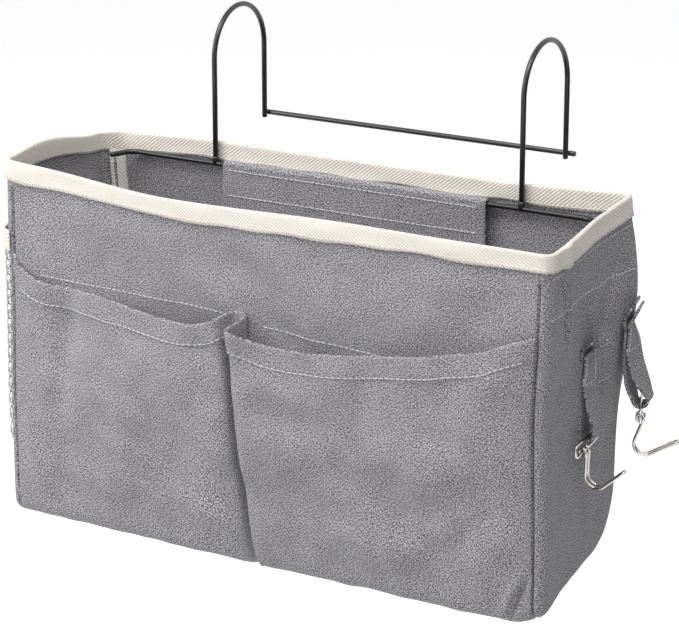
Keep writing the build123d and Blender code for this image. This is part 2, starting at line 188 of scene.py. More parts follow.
def rim_and_ends(x, y, z):
    """Moves of the whole shape: a rim that dips and arches, ends that swell, a floor that sags."""
    move = np.zeros((len(x), 3))
    up = np.clip(z / HEIGHT, 0, 1.1)
    across = x / (WIDTH / 2)
    left_end = ease(-x, SEAM_X - 8, WIDTH / 2)
    rear = ease(y, 0, BACK)
    # Rim heights: front edge, then back edge, from left to right.
    front = FRONT_RIM_LIFT - FRONT_RIM_DIP * ease(across, -1.0, -0.35)
    front += FRONT_RIM_CROWN * bump(across, 0.3, 0.35)
    back = BACK_RIM_RIGHT_RISE * ease(across, 0.5, 1.0)
    back -= BACK_RIM_LEFT_DIP * ease(-across, 0.55, 1.0) + BACK_RIM_SAG * bump(across, -0.25, 0.4)
    blend = ease(y, FRONT, BACK)
    move[:, 2] += (front * (1 - blend) + back * blend) * up**3
    # The left rear corner is drawn forward, and the right end swells under the rim.
    move[:, 1] -= LEFT_REAR_FORWARD * ease(-x, SEAM_X - 7, WIDTH / 2) * rear * up**2
    move[:, 1] += RIGHT_REAR_BACK * ease(x, SEAM_X - 16, WIDTH / 2) * rear * up**2
    # The front corners are drawn out sideways by the seams.
    top = ease(z, 140, 184)
    near_front = (1 - ease(y, FRONT + 4, FRONT + 38)) * (1 - top) + top * (1 - 0.4 * blend)
    seam_right = RIGHT_SEAM_OUT - RIGHT_SEAM_WAIST * bump(z, 105, 45)
    seam_left = LEFT_SEAM_OUT + LEFT_SEAM_LOW_OUT * (1 - ease(z, 60, 140))
    seams = ease(np.abs(x), SEAM_X - 45, SEAM_X) * near_front
    move[:, 0] += seams * np.where(x > 0, seam_right, -seam_left)
    # The left rim arches between its corners, and the floor sags.
    arch = bump(y, -8, 30) * left_end * up**3
    move[:, 2] += LEFT_RIM_ARCH * arch
    move[:, 0] -= LEFT_RIM_OUT * arch
    kept = FLOOR_CORNER_KEPT * ease(x, SEAM_X - 12, WIDTH / 2) * bump(y, FRONT, 24)
    move[:, 2] -= (FLOOR_SAG + FLOOR_TILT * across) * (1 - ease(z, -4, 95)) * (1 - kept)
    # The right end stands out towards the back, and the left end is a little hollow.
    rear_right = ease(x, SEAM_X - 8, WIDTH / 2) * ease(y, 4, 46)
    move[:, 0] += rear_right * (REAR_RIGHT_TOP_OUT * top + REAR_RIGHT_OUT * bump(z, 152, 30))
    swell = bump(y, 44, 30) * bump(z, 138, 42) * (1 - ease(z, 178, 200))
    move[:, 0] += RIGHT_SWELL * swell * ease(x, SEAM_X - 3, WIDTH / 2)
    hollow = bump(y, 0, 34) * bump(z, 120, 60)
    move[:, 0] -= LEFT_HOLLOW * hollow * ease(-x, SEAM_X, WIDTH / 2)
    return move, up


def sewn_folds(p, n):
    """Moves of the panels between their seams: waves, puckers, and the folds that can be seen."""
    x, y, z = p.T
    ends = np.abs(n[:, 0]) > FACING
    to_seam = np.where(ends, np.minimum(BACK - np.abs(y), 60), SEAM_X - np.abs(x))
    hold = ease(to_seam, 0, 22) * ease(BINDING_LOW + 4 - z, 0, 26) * ease(z, 4, 30)
    by_bar = 1 - BACK_STILLED * ease(y, BAR_Y - 6, BAR_Y + 1) * ease(z, 120, 150)
    right = (n[:, 0] > FACING) * 1.0
    by_hooks = 1 - HOOKS_STILLED * bump(y, 5, 20) * bump(z, 80, 40) * right
    height = FOLD_SIZE * field(p, FOLDS) + PUCKER_SIZE * field(p, PUCKER)
    move = n * (height * hold * by_bar * by_hooks)[:, None]
    # A crease under the end of the binding, with a soft ridge in front of it.
    drop = np.clip((182 - z) / 40, 0, 1)
    fold = y - (-33.5 + 8.5 * drop)
    part = right * ease(z, 138, 152) * (1 - ease(z, 178, 187))
    move[:, 0] += part * (CREASE_RIDGE * bump(fold, 3.4, 2.4) - CREASE_DEPTH * bump(fold, 0, 1.5))
    for size, place, slant, level, width, middle, reach in END_FOLDS:
        at = place + (z - level) * slant
        move[:, 0] += right * size * bump(y, at, width) * bump(z, middle, reach)
    # A slanting pleat low on the right of the front.
    facing_front = (n[:, 1] < -FACING) * 1.0
    pleat = ((x - 153) * 26 - (z - 30) * 12) / 28.6
    part = facing_front * ease(x, 134, 146) * (1 - ease(z, 20, 32))
    move[:, 1] -= part * (PLEAT_RIDGE * bump(pleat, -4.0, 2.6) - PLEAT_DEPTH * bump(pleat, 0, 1.3))
    return move


def slacken(points, normals=None):
    """The bag's soft shape; the folds come only where a normal is given."""
    p = np.asarray(points, float).reshape(-1, 3)
    move, up = rim_and_ends(*p.T)
    for axis, waves in enumerate(BROAD):
        clear = ease(BAR_Y - 14 - p[:, 1], 0, 30)
        move[:, axis] += BROAD_SIZE[axis] * field(p, waves) * up**2 * clear
    if normals is not None:
        move += sewn_folds(p, np.asarray(normals, float).reshape(-1, 3))
    return (p + move).reshape(np.shape(points))


# ---- Meshes ----
def to_row(points):
    """Bag millimetres to metres in the row frame."""
    return (np.asarray(points, float) + HOME) * MM


def put_in_scene(name, data):
    """Object that holds this data, in the scene."""
    made = bpy.data.objects.new(name, data)
    bpy.context.scene.collection.objects.link(made)
    return made


def new_object(name, vertices, faces, material, cloth=None):
    """Mesh object from bag-frame vertices; cloth holds the flat place of each vertex."""
    mesh = bpy.data.meshes.new(name)
    mesh.from_pydata(to_row(vertices).tolist(), [], [tuple(int(i) for i in f) for f in faces])
    if cloth is not None:
        layer = mesh.attributes.new("cloth", "FLOAT_VECTOR", "POINT")
        flat = np.zeros((len(vertices), 3), np.float32)
        flat[:, : np.shape(cloth)[1]] = cloth
        layer.data.foreach_set("vector", flat.ravel())
    mesh.polygons.foreach_set("use_smooth", [True] * len(mesh.polygons))
    mesh.materials.append(material)
    mesh.validate()
    mesh.update()
    return put_in_scene(name, mesh)


def grid_normals(grid):
    """Unit normals of a grid of points, from the two grid directions."""
    return unit(np.cross(np.gradient(grid, axis=0), np.gradient(grid, axis=1)))


def thick_grid(outer, thickness, flip, closed):
    """Vertices and faces of a closed sheet between a grid and its inner offset.

    closed joins the last row of the grid to the first; flip turns the sheet's outside round.
    """
    rows, columns = outer.shape[:2]
    normals = grid_normals(outer)
    if closed:
        normals = grid_normals(np.concatenate([outer[-1:], outer, outer[:1]]))[1:-1]
    if flip:
        normals = -normals
    depth = np.broadcast_to(np.asarray(thickness, float), (rows, columns))[..., None]
    vertices = np.concatenate([outer.reshape(-1, 3), (outer - normals * depth).reshape(-1, 3)])
    inside = rows * columns
    faces = []

    def quad(a, b, c, d, turned):
        faces.append((a, d, c, b) if turned else (a, b, c, d))

    for i in range(rows if closed else rows - 1):
        here, there = i * columns, (i + 1) % rows * columns
        for j in range(columns - 1):
            corners = np.array([here + j, there + j, there + j + 1, here + j + 1])
            quad(*corners, flip)
            quad(*(corners + inside), not flip)
        for j in (0, columns - 1):
            a, b = here + j, there + j
            quad(a, a + inside, b + inside, b, (j == 0) == flip)
    for i in () if closed else (0, rows - 1):
        for a in range(i * columns, (i + 1) * columns - 1):
            quad(a, a + 1, a + 1 + inside, a + inside, (i == 0) == flip)
    return vertices, faces


def sheet_object(name, outer, cloth, thickness, material, flip=False, closed=False):
    """Object for a thin closed sheet whose outer face is the grid."""
    vertices, faces = thick_grid(outer, thickness, flip, closed)
    flat = np.concatenate([cloth.reshape(-1, 2)] * 2)
    return new_object(name, vertices, faces, material, flat)


def tube(path, radius, sides, closed=False):
    """Vertices and faces of a round thread along a path."""
    path = np.asarray(path, float)
    count = len(path)
    ahead = np.roll(path, -1, axis=0) if closed else np.concatenate([path[1:], path[-1:]])
    behind = np.roll(path, 1, axis=0) if closed else np.concatenate([path[:1], path[:-1]])
    way = unit(ahead - behind)
    side = np.zeros_like(path)
    seed = np.array([0.0, 0.0, 1.0]) if abs(way[0][2]) < 0.9 else np.array([1.0, 0.0, 0.0])
    for i in range(count):
        seed = unit(seed - way[i] * (seed @ way[i]))
        side[i] = seed
    over = np.cross(way, side)
    radius = np.broadcast_to(np.asarray(radius, float), (count,))
    angles = (np.arange(sides) * TURN / sides)[None, :, None]
    ring = np.cos(angles) * side[:, None] + np.sin(angles) * over[:, None]
    vertices = (path[:, None] + ring * radius[:, None, None]).reshape(-1, 3)
    faces = []
    for i in range(count if closed else count - 1):
        k = (i + 1) % count
        for j in range(sides):
            m = (j + 1) % sides
            faces.append((i * sides + j, i * sides + m, k * sides + m, k * sides + j))
    if not closed:
        faces.append(tuple(reversed(range(sides))))
        faces.append(tuple(range((count - 1) * sides, count * sides)))
    return vertices, faces


def joined(parts):
    """Vertices and faces of many small pieces that become one object."""
    vertices, faces, count = [], [], 0
    for points, rings in parts:
        vertices.append(points)
        faces += [tuple(i + count for i in ring) for ring in rings]
        count += len(points)
    return np.concatenate(vertices), faces


def arc_round(before, corner, after, radius):
    """Start and turning angle of the arc that rounds a corner, and the arc itself as a function."""
    way_in, way_out = unit(corner - before), unit(after - corner)
    turn = math.acos(np.clip(way_in @ way_out, -1, 1))
    start = corner - way_in * radius * math.tan(turn / 2)
    side = unit(way_out - way_in * (way_in @ way_out))
    centre = start + side * radius

    def arc(steps):
        angles = [turn * k / steps for k in range(steps + 1)]
        return [centre + radius * (way_in * math.sin(a) - side * math.cos(a)) for a in angles]

    return start, turn, arc


def rounded_path(points, radii, step=1.0):
    """Evenly stepped points along straight runs joined by arcs."""
    points = [np.array(p, float) for p in points]
    out = []

    def straight(first, last):
        count = max(int(np.linalg.norm(last - first) / step), 1)
        out.extend(first + (last - first) * k / count for k in range(count))

    way_in = points[0]
    for before, corner, after, radius in zip(points, points[1:], points[2:], radii):
        start, turn, arc = arc_round(before, corner, after, radius)
        straight(way_in, start)
        out.extend(arc(max(int(turn * radius / step), 4)))
        way_in = out.pop()
    straight(way_in, points[-1])
    return np.array(out + [points[-1]])


BEND_STEPS = 12


def curved_path(points, radius, closed=False):
    """Corners of a wire, each rounded by an arc of the same radius."""
    points = [np.array(p, float) for p in points]
    count = len(points)
    out = [] if closed else [points[0]]
    for i in range(count) if closed else range(1, count - 1):
        arc = arc_round(points[i - 1], points[i], points[(i + 1) % count], radius)[2]
        out += arc(BEND_STEPS)
    return np.array(out if closed else out + [points[-1]])


# ---- Sewing ----
STITCH = 3.3
THREAD = 0.34
THREAD_SIDES = 6
SHOWING = 0.82
SMALL_STITCH = 3.0
SMALL_THREAD = 0.25


def stitches(path, normals, lift=0.2, pitch=STITCH, thread=THREAD):
    """Row of short threads that dive into the cloth at each end."""
    run = run_of(path)
    share = np.linspace(0, 1, 6)
    rise = (np.sin(np.pi * share) ** 0.6 * (thread + lift) - thread)[:, None]
    threads = []
    for k in range(int(run[-1] / pitch)):
        at = (k + 0.5 + SHOWING * (share - 0.5)) * pitch
        points = read_off(at, run, path) + read_off(at, run, normals) * rise
        threads.append(tube(points, thread, THREAD_SIDES))
    return threads


def finish_piece(piece, body, slot, *nodes):
    """Ride and stand-in for one soft piece; slot is not used."""
    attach(piece, body)
    if nodes:
        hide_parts(*nodes)
    return piece


def sew(name, *rows, body="bag", slot="grey_canvas"):
    """One object with these rows of stitches, each given as stitches() takes it."""
    threads = joined([thread for row in rows for thread in stitches(*row)])
    material = THREAD_CREAM if slot == "cream_twill" else THREAD_LIGHT
    return finish_piece(new_object(name, *threads, material), body, slot)


def as_sheet(cloth):
    """Area of cloth a piece is cut from, worked out from its flat cloth coordinates and not used.
    """
    flat = np.asarray(cloth, float)
    a = flat[1:, 1:] - flat[:-1, :-1]
    b = flat[:-1, 1:] - flat[1:, :-1]
    cut = np.abs(a[..., 0] * b[..., 1] - a[..., 1] * b[..., 0]).sum() / 2


# ---- Materials ----
class Nodes:
    """Small helper that builds a node tree line by line."""

    def __init__(self, name, kind=bpy.data.materials, shader="Principled BSDF"):
        self.made = kind.new(name)
        self.made.use_nodes = True
        self.tree = self.made.node_tree
        self.shader = self.tree.nodes[shader]

    def put(self, value, socket):
        """Plain value on a socket, or a link to it."""
        if isinstance(value, bpy.types.NodeSocket):
            self.tree.links.new(value, socket)
        else:
            socket.default_value = value

    def put_all(self, node, inputs):
        """Inputs of a node, by their names with _ for each space."""
        for key, value in inputs.items():
            self.put(value, node.inputs[key.replace("_", " ")])

    def set(self, **inputs):
        self.put_all(self.shader, inputs)

    def add(self, kind, output, **inputs):
        """Output of a new node with these inputs."""
        node = self.tree.nodes.new("ShaderNode" + kind)
        self.put_all(node, inputs)
        return node.outputs[output]

    def math(self, operation, *values):
        node = self.tree.nodes.new("ShaderNodeMath")
        node.operation = operation
        for value, socket in zip(values, node.inputs):
            self.put(value, socket)
        return node.outputs[0]

    def mix(self, factor, first, second):
        node = self.tree.nodes.new("ShaderNodeMix")
        node.data_type = "RGBA"
        for value, socket in ((factor, 0), (first, 6), (second, 7)):
            self.put(value, node.inputs[socket])
        return node.outputs[2]

    def ramp(self, value, stops):
        node = self.tree.nodes.new("ShaderNodeValToRGB")
        self.put(value, node.inputs["Fac"])
        elements = node.color_ramp.elements
        while len(elements) < len(stops):
            elements.new(0.5)
        for element, (place, colour) in zip(elements, stops):
            element.position = place
            element.color = (*colour, 1.0)
        return node.outputs["Color"]

    def cloth(self):
        """Flat place on the cloth, in millimetres."""
        node = self.tree.nodes.new("ShaderNodeAttribute")
        node.attribute_name = "cloth"
        return node.outputs["Vector"]

    def split(self, place):
        """First and second coordinates of a place."""
        return self.add("SeparateXYZ", "X", Vector=place).node.outputs[:2]

    def half_up(self, wave):
        """A wave from -1 to 1 brought to 0 to 1."""
        return self.math("ADD", self.math("MULTIPLY", wave, 0.5), 0.5)

    def sum(self, *shares):
        """Sum of (value, share) pairs."""
        terms = [self.math("MULTIPLY", value, share) for value, share in shares]
        total = terms[0]
        for term in terms[1:]:
            total = self.math("ADD", total, term)
        return total

    def scaled(self, place, scale, location=(0, 0, 0)):
        return self.add("Mapping", "Vector", Vector=place, Scale=scale, Location=location)

    def noise(self, place, scale, detail, roughness):
        looks = {"Scale": scale, "Detail": detail, "Roughness": roughness}
        return self.add("TexNoise", "Fac", Vector=place, **looks)

    def between(self, value, low, high):
        """Value stretched from 0 to 1 onto low to high."""
        return self.add("MapRange", "Result", Value=value, To_Min=low, To_Max=high)

    def bump(self, height, distance, strength):
        relief = {"Height": height, "Distance": distance, "Strength": strength}
        self.set(Normal=self.add("Bump", "Normal", **relief))

    def seen_directly(self):
        """1 for the camera's own rays and for mirrored and transmitted ones."""
        rays = self.add("LightPath", "Is Camera Ray").node.outputs
        mirrored = self.math("MAXIMUM", rays["Is Camera Ray"], rays["Is Glossy Ray"])
        return self.math("MAXIMUM", mirrored, rays["Is Transmission Ray"])


YARN = 0.55
RIB = 2.4
RIB_TURN = 11.0
RIB_SLANT = 1.25


def canvas_material(name, dark, middle, light):
    """Heathered plain weave: two sets of yarns, each with its own light and dark stretches."""
    n = Nodes(name)
    cloth = n.cloth()
    weft = n.noise(n.scaled(cloth, (0.95, 2.1, 1)), 1.0, 2.0, 0.6)
    warp = n.noise(n.scaled(cloth, (2.1, 0.95, 1), (37, 11, 0)), 1.0, 2.0, 0.6)
    over = [n.math("SINE", n.math("MULTIPLY", way, math.pi / YARN)) for way in n.split(cloth)]
    weave = n.math("MULTIPLY", *over)
    yarn = n.mix(n.half_up(weave), weft, warp)
    blotch = n.math("SUBTRACT", n.noise(cloth, 0.09, 3.0, 0.6), 0.5)
    fleck = n.noise(cloth, 1.75, 1.0, 0.5)
    tone = n.sum((yarn, 0.62), (fleck, 0.60), (blotch, 0.035))
    n.set(
        Base_Color=n.ramp(tone, [(0.515, dark), (0.60, middle), (0.69, light)]),
        Roughness=0.95,
        Specular_IOR_Level=0.2,
        Sheen_Weight=0.15,
        Sheen_Roughness=0.5,
    )
    n.bump(n.sum((n.math("ABSOLUTE", weave), 0.6), (fleck, 0.4)), 0.0002, 0.5)
    return n.made


def twill_material(name, light, shade):
    """Herringbone cotton tape: slanting ribs that turn back on themselves across its width."""
    n = Nodes(name)
    cloth = n.cloth()
    u, v = n.split(cloth)
    slant = n.math("ADD", u, n.math("MULTIPLY", n.math("PINGPONG", v, RIB_TURN), RIB_SLANT))
    rib = n.half_up(n.math("SINE", n.math("MULTIPLY", slant, TURN / RIB)))
    yarn = n.noise(n.scaled(cloth, (1.6, 0.5, 1)), 1.0, 2.0, 0.6)
    tone = n.sum((rib, 0.55), (yarn, 0.35), (n.noise(cloth, 0.06, 2.0, 0.5), 0.2))
    n.set(
        Base_Color=n.ramp(tone, [(0.18, shade), (0.55, light)]),
        Roughness=0.9,
        Specular_IOR_Level=0.25,
        Sheen_Weight=0.1,
    )
    n.bump(n.math("ADD", rib, n.math("MULTIPLY", yarn, 0.5)), 0.00025, 0.8)
    return n.made


def thread_material(name, colour):
    """Twisted sewing thread."""
    n = Nodes(name)
    twist = n.noise(n.add("TexCoord", "Object"), 2600, 1.0, 0.5)
    dark = tuple(0.72 * c for c in colour)
    n.set(Base_Color=n.ramp(twist, [(0.3, dark), (0.65, colour)]), Roughness=0.75)
    n.bump(twist, 0.0001, 0.5)
    return n.made


def wire_material():
    """Satin black coating on steel wire, with faint orange peel."""
    n = Nodes("black_wire_finish")
    where = n.add("TexCoord", "Object")
    cloud = n.noise(where, 300, 3.0, 0.6)
    n.set(
        Base_Color=n.ramp(cloud, [(0.3, (0.006, 0.006, 0.007)), (0.75, (0.014, 0.014, 0.016))]),
        Roughness=n.between(cloud, 0.22, 0.38),
        Coat_Weight=0.4,
        Coat_Roughness=0.2,
    )
    n.bump(n.noise(where, 1400, 2.0, 0.5), 0.00008, 0.35)
    return n.made


def nickel_material():
    """Bright plated wire with fine drawing marks and a little tarnish."""
    n = Nodes("bright_nickel_finish")
    where = n.add("TexCoord", "Object")
    marks = n.noise(where, 900, 3.0, 0.6)
    stain = n.noise(where, 120, 2.0, 0.6)
    n.set(
        Base_Color=n.ramp(stain, [(0.3, (0.50, 0.465, 0.43)), (0.7, (0.68, 0.65, 0.62))]),
        Metallic=1.0,
        Roughness=n.between(marks, 0.05, 0.16),
    )
    n.bump(marks, 0.00004, 0.4)
    return n.made


def nap_material(name, dark, light, scale):
    """Fastening tape: loops or small hooks in rows."""
    n = Nodes(name)
    cloth = n.cloth()
    cell = n.add("TexVoronoi", "Distance", Vector=cloth, Scale=scale)
    tone = n.sum((cell, 0.7), (n.noise(cloth, 3.0, 3.0, 0.7), 0.4))
    n.set(Base_Color=n.ramp(tone, [(0.15, light), (0.75, dark)]), Roughness=0.95)
    n.bump(cell, 0.0005, 0.9)
    return n.made


CANVAS = canvas_material(
    "grey_canvas_cloth", (0.048, 0.045, 0.053), (0.243, 0.234, 0.256), (0.69, 0.68, 0.71)
)
TWILL = twill_material("cream_twill_cloth", (0.97, 0.92, 0.85), (0.78, 0.70, 0.61))
THREAD_LIGHT = thread_material("grey_thread", (0.76, 0.76, 0.78))
THREAD_CREAM = thread_material("cream_thread", (0.80, 0.74, 0.65))
NET = thread_material("net_thread", (0.66, 0.65, 0.65))
LOOPS = nap_material("loop_tape_nap", (0.05, 0.05, 0.055), (0.16, 0.16, 0.17), 1.3)
HOOKS = nap_material("hook_tape_nap", (0.04, 0.04, 0.045), (0.22, 0.22, 0.23), 0.9)
BLACK = wire_material()
NICKEL = nickel_material()

# ---- Side outline of the bag ----
BASE_RISE = DEPTH * math.tan(BASE_SLOPE)
OUTLINE = rounded_path(
    [(FRONT, WALL_TOP), (FRONT, 0), (BACK, BASE_RISE), (BACK, WALL_TOP)], [FRONT_ROLL, BACK_ROLL]
)
OUTLINE_RUN = run_of(OUTLINE)
OUTLINE_WAY = unit(np.gradient(OUTLINE, axis=0))
OUTLINE_NORMAL = np.stack([OUTLINE_WAY[:, 1], -OUTLINE_WAY[:, 0]], axis=1)
BACK_TANGENT = BASE_RISE + BACK_ROLL * math.tan((math.pi / 2 - BASE_SLOPE) / 2)
RUN_FRONT = WALL_TOP - FRONT_TANGENT
RUN_BACK = OUTLINE_RUN[-1] - (WALL_TOP - BACK_TANGENT)


def outline_at(run):
    """Place and outward normal on the side outline, this far along it from the front top."""
    return read_off(run, OUTLINE_RUN, OUTLINE), unit(read_off(run, OUTLINE_RUN, OUTLINE_NORMAL))


# ---- Surfaces that other pieces lie on ----
def outline_ideal(x, run):
    """Front, base or back before it slackens, and its outward normal."""
    x, run = np.broadcast_arrays(np.asarray(x, float), np.asarray(run, float))
    place, normal = outline_at(run)
    return stacked(x, place[..., 0], place[..., 1]), stacked(0 * x, normal[..., 0], normal[..., 1])


def outline_surface(x, run):
    """Slackened front, base or back at these distances along the side outline."""
    ideal, away = outline_ideal(x, run)
    return slacken(ideal, away), away


def end_face(y, z):
    """How far the flat of an end stands out, rounded towards its seam, and the way to the seam."""
    flat = np.stack([y.ravel(), z.ravel()], axis=1)
    first, way = OUTLINE[:-1], np.diff(OUTLINE, axis=0)
    square = (way**2).sum(axis=1)
    gap = []
    for part in np.array_split(flat, len(flat) // 2000 + 1):
        apart = part[:, None] - first[None]
        share = np.clip((apart * way).sum(axis=2) / square, 0, 1)
        near = apart - share[..., None] * way
        gap.append(np.sqrt((near**2).sum(axis=2)).min(axis=1))
    gap = np.concatenate(gap).reshape(y.shape)
    inside = np.clip(gap, 0, CORNER)
    return SEAM_X + np.sqrt(np.maximum(CORNER**2 - (CORNER - inside) ** 2, 0)), gap


def end_surface(way, y, z):
    """Slackened end panel at these places, and its outward normal."""
    y, z = np.broadcast_arrays(np.asarray(y, float), np.asarray(z, float))
    away = stacked(way + 0 * y, 0, 0)
    return slacken(stacked(way * end_face(y, z)[0], y, z), away), away


# ---- Canvas panels ----
SEAM_PINCH = 1.8
PINCH_WIDTH = 0.8
NEAR_SEAM = np.array([0.25, 0.5, 0.8, 1.1, 1.5, 2.0])
PANEL_COLUMNS = 113
PANEL_STEP = 2.6
END_MIDDLE = np.array([0.0, 112.0])
END_SEAM_STEPS, END_TOP_STEPS, END_RINGS = 230, 52, 76


def seam_groove(x, z):
    """Depth of the groove along an end seam, which closes under the binding."""
    closing = 1 - ease(z, BINDING_LOW - 7, BINDING_LOW - 1)
    return SEAM_PINCH * bump(np.abs(x), SEAM_X, PINCH_WIDTH) * closing


def wrap_panel(name, run_low, run_high, node):
    """Front, base or back: a stretch of the side outline carried from end seam to end seam."""
    columns = np.linspace(-SEAM_X, SEAM_X, PANEL_COLUMNS)
    columns = np.unique(np.concatenate([columns, SEAM_X - NEAR_SEAM, NEAR_SEAM - SEAM_X]))[:, None]
    steps = max(int((run_high - run_low) / PANEL_STEP), 8)
    runs = np.linspace(run_low, run_high, steps + 1)[None]
    ideal, away = outline_ideal(columns, runs)
    outer = slacken(ideal, away) - away * seam_groove(columns, ideal[..., 2])[..., None]
    cloth = stacked(columns, runs)
    piece = sheet_object(name, outer, cloth, CLOTH, CANVAS, flip=True)
    as_sheet(cloth)
    return finish_piece(piece, "bag", "grey_canvas", node)


def side_panel(name, way, node):
    """One end of the bag, as rings that spread from its middle to its seam."""
    seam, facing = outline_at(np.linspace(0, OUTLINE_RUN[-1], END_SEAM_STEPS))
    top = np.linspace(BACK, FRONT, END_TOP_STEPS)[1:-1]
    edge = np.concatenate([seam, stacked(top, WALL_TOP)])
    steps = 1 - (1 - np.linspace(0.0003, 1, END_RINGS)) ** 2
    flat = END_MIDDLE + (edge[:, None] - END_MIDDLE) * steps[None, :, None]
    x, gap = end_face(flat[..., 0], flat[..., 1])
    outer, _ = end_surface(way, flat[..., 0], flat[..., 1])
    groove = seam_groove(x, flat[..., 1])[..., None]
    outer[: len(seam), :, 1:] -= facing[:, None] * groove[: len(seam)]
    bent = np.clip(gap, 0, CORNER)
    longer = CORNER * (math.pi / 2 - 1) - (CORNER * np.arccos(1 - bent / CORNER) - bent)
    cloth = flat + unit(flat - END_MIDDLE) * longer[..., None]
    piece = sheet_object(name, outer, cloth, CLOTH, CANVAS, flip=way > 0, closed=True)
    as_sheet(np.concatenate([cloth, cloth[:1]]))
    return finish_piece(piece, "bag", "grey_canvas", node)


# ---- Top binding ----
SIDES = (WIDTH - 2 * CORNER, DEPTH - 2 * CORNER)
ROUND = math.pi / 2 * CORNER
RIM_RUN = 2 * sum(SIDES) + 4 * ROUND
RIM_WAVES = wave_field(41, 9, 34)
CORNER_RUN = SIDES[0] / 2 + ROUND / 2
TAPE_END = SIDES[0] / 2 + ROUND + 17.0
TAPE_LAP = 6.0
TAPE_LIP = 0.9
TAPE_STEPS = 620
GATHER, GATHER_PITCH, GATHER_REACH = 0.6, 3.1, 9.0
PUFF, PUFF_WAVE, EDGE_OFF = 0.30, 0.28, 0.5
EDGE_WAVE, EDGE_SCALLOP, SCALLOP_PITCH = 0.55, 0.35, 3.6
LAP_OUT, LAP_DOWN = 0.85, 1.1


def rim_point(run, inset):
    """Plan of the rim this far round it from the middle of the front, and its outward normal."""
    run = np.mod(np.asarray(run, float) + SIDES[0] / 2, RIM_RUN)
    point, away = np.zeros(run.shape + (2,)), np.zeros(run.shape + (2,))
    at = np.array([-SIDES[0] / 2, FRONT])
    start = 0.0
    for way, side in zip(((1, 0), (0, 1), (-1, 0), (0, -1)), SIDES * 2):
        way = np.array(way, float)
        out = np.array([way[1], -way[0]])
        here = (run >= start) & (run < start + side + ROUND + 1e-9)
        straight = np.clip(run - start, 0, side)[..., None]
        turn = np.clip(run - start - side, 0, ROUND)[..., None] / CORNER
        normal = out * np.cos(turn) + way * np.sin(turn)
        point[here] = (at + way * straight + CORNER * (normal - out))[here]
        away[here] = normal[here]
        at = at + way * side + CORNER * (way - out)
        start += side + ROUND
    return point - away * np.asarray(inset, float)[..., None], away


def rim_binding():
    """Twill tape folded over the rim; it laps over itself on the right, past the front corner."""
    run = np.linspace(TAPE_END - TAPE_LAP, TAPE_END + RIM_RUN, TAPE_STEPS)
    rows = len(run)
    plan, away = rim_point(run, 0)
    lapped = ease(run, run[-1] - 12.0, run[-1] - 5.0)
    # Gathers where the tape turns the front right corner.
    apart = np.abs(np.mod(run - CORNER_RUN + RIM_RUN / 2, RIM_RUN) - RIM_RUN / 2)
    gathers = GATHER * np.sin(TURN * run / GATHER_PITCH) * bump(apart, 0, GATHER_REACH)
    # Across the tape: down the outside from the fold, and down the inside.
    depth = np.linspace(TAPE_DEPTH, TAPE_LIP, 8)
    middle = CLOTH / 2
    half = CLOTH / 2 + TAPE
    sections = [(-TAPE, -d) for d in depth]
    for a in np.linspace(0, math.pi, 9)[1:-1]:
        sections.append((middle - half * math.cos(a), TAPE_LIP * (math.sin(a) - 1)))
    sections += [(CLOTH + TAPE, -d) for d in depth[::-1]]
    grid = np.zeros((rows, len(sections), 3))
    for j, (inset, drop) in enumerate(sections):
        share = abs(drop) / TAPE_DEPTH
        outside = inset < middle
        loose = field(np.column_stack([plan, np.full(rows, 60.0 * outside)]), RIM_WAVES)
        puff = (PUFF + PUFF_WAVE * loose) * np.sin(np.pi * share) + EDGE_OFF * share**4
        puff = puff * (1.0 if outside else 0.6) + gathers * (0.5 + 0.5 * share)
        over = inset - puff - LAP_OUT * lapped
        if not outside:
            over = inset + 0.6 * puff * (1 - ease(share, 0.8, 1.0))
        edge = np.column_stack([rim_point(run, over)[0], np.full(rows, HEIGHT)])
        ragged = EDGE_WAVE * field(edge, RIM_WAVES)
        ragged += EDGE_SCALLOP * np.abs(np.sin(np.pi * run / SCALLOP_PITCH))
        grid[:, j] = edge
        grid[:, j, 2] += drop + ragged * share**2 - LAP_DOWN * lapped * share * outside
    grid = slacken(grid)
    cloth = stacked(run[:, None], run_of(np.array(sections))[None, :])
    piece = sheet_object("binding_tape", grid, cloth, TAPE * 0.8, TWILL)
    finish_piece(piece, "bag", "cream_twill", "rim_binding")
    for column, side in ((1, 1), (len(sections) - 2, -1)):
        normals = grid_normals(grid)[:, column]
        outwards = (normals[:, :2] * away).sum(axis=1) * side
        row = (grid[:, column], normals * np.sign(outwards)[:, None])
        row += (0.05, SMALL_STITCH, SMALL_THREAD)
        sew("binding_stitches_%d" % column, row, slot="cream_twill")
    as_sheet(cloth)


# ---- Front pockets ----
POCKET_LOW_RUN = RUN_FRONT + 6.5
HEM = 12.0
HEM_CLOTH = 0.7
POCKET_CLOTH = 1.0
POCKET_BELLY = 2.2
POCKET_WAVE, POCKET_FULL, POCKET_PUCKER = 0.85, 0.9, 0.22

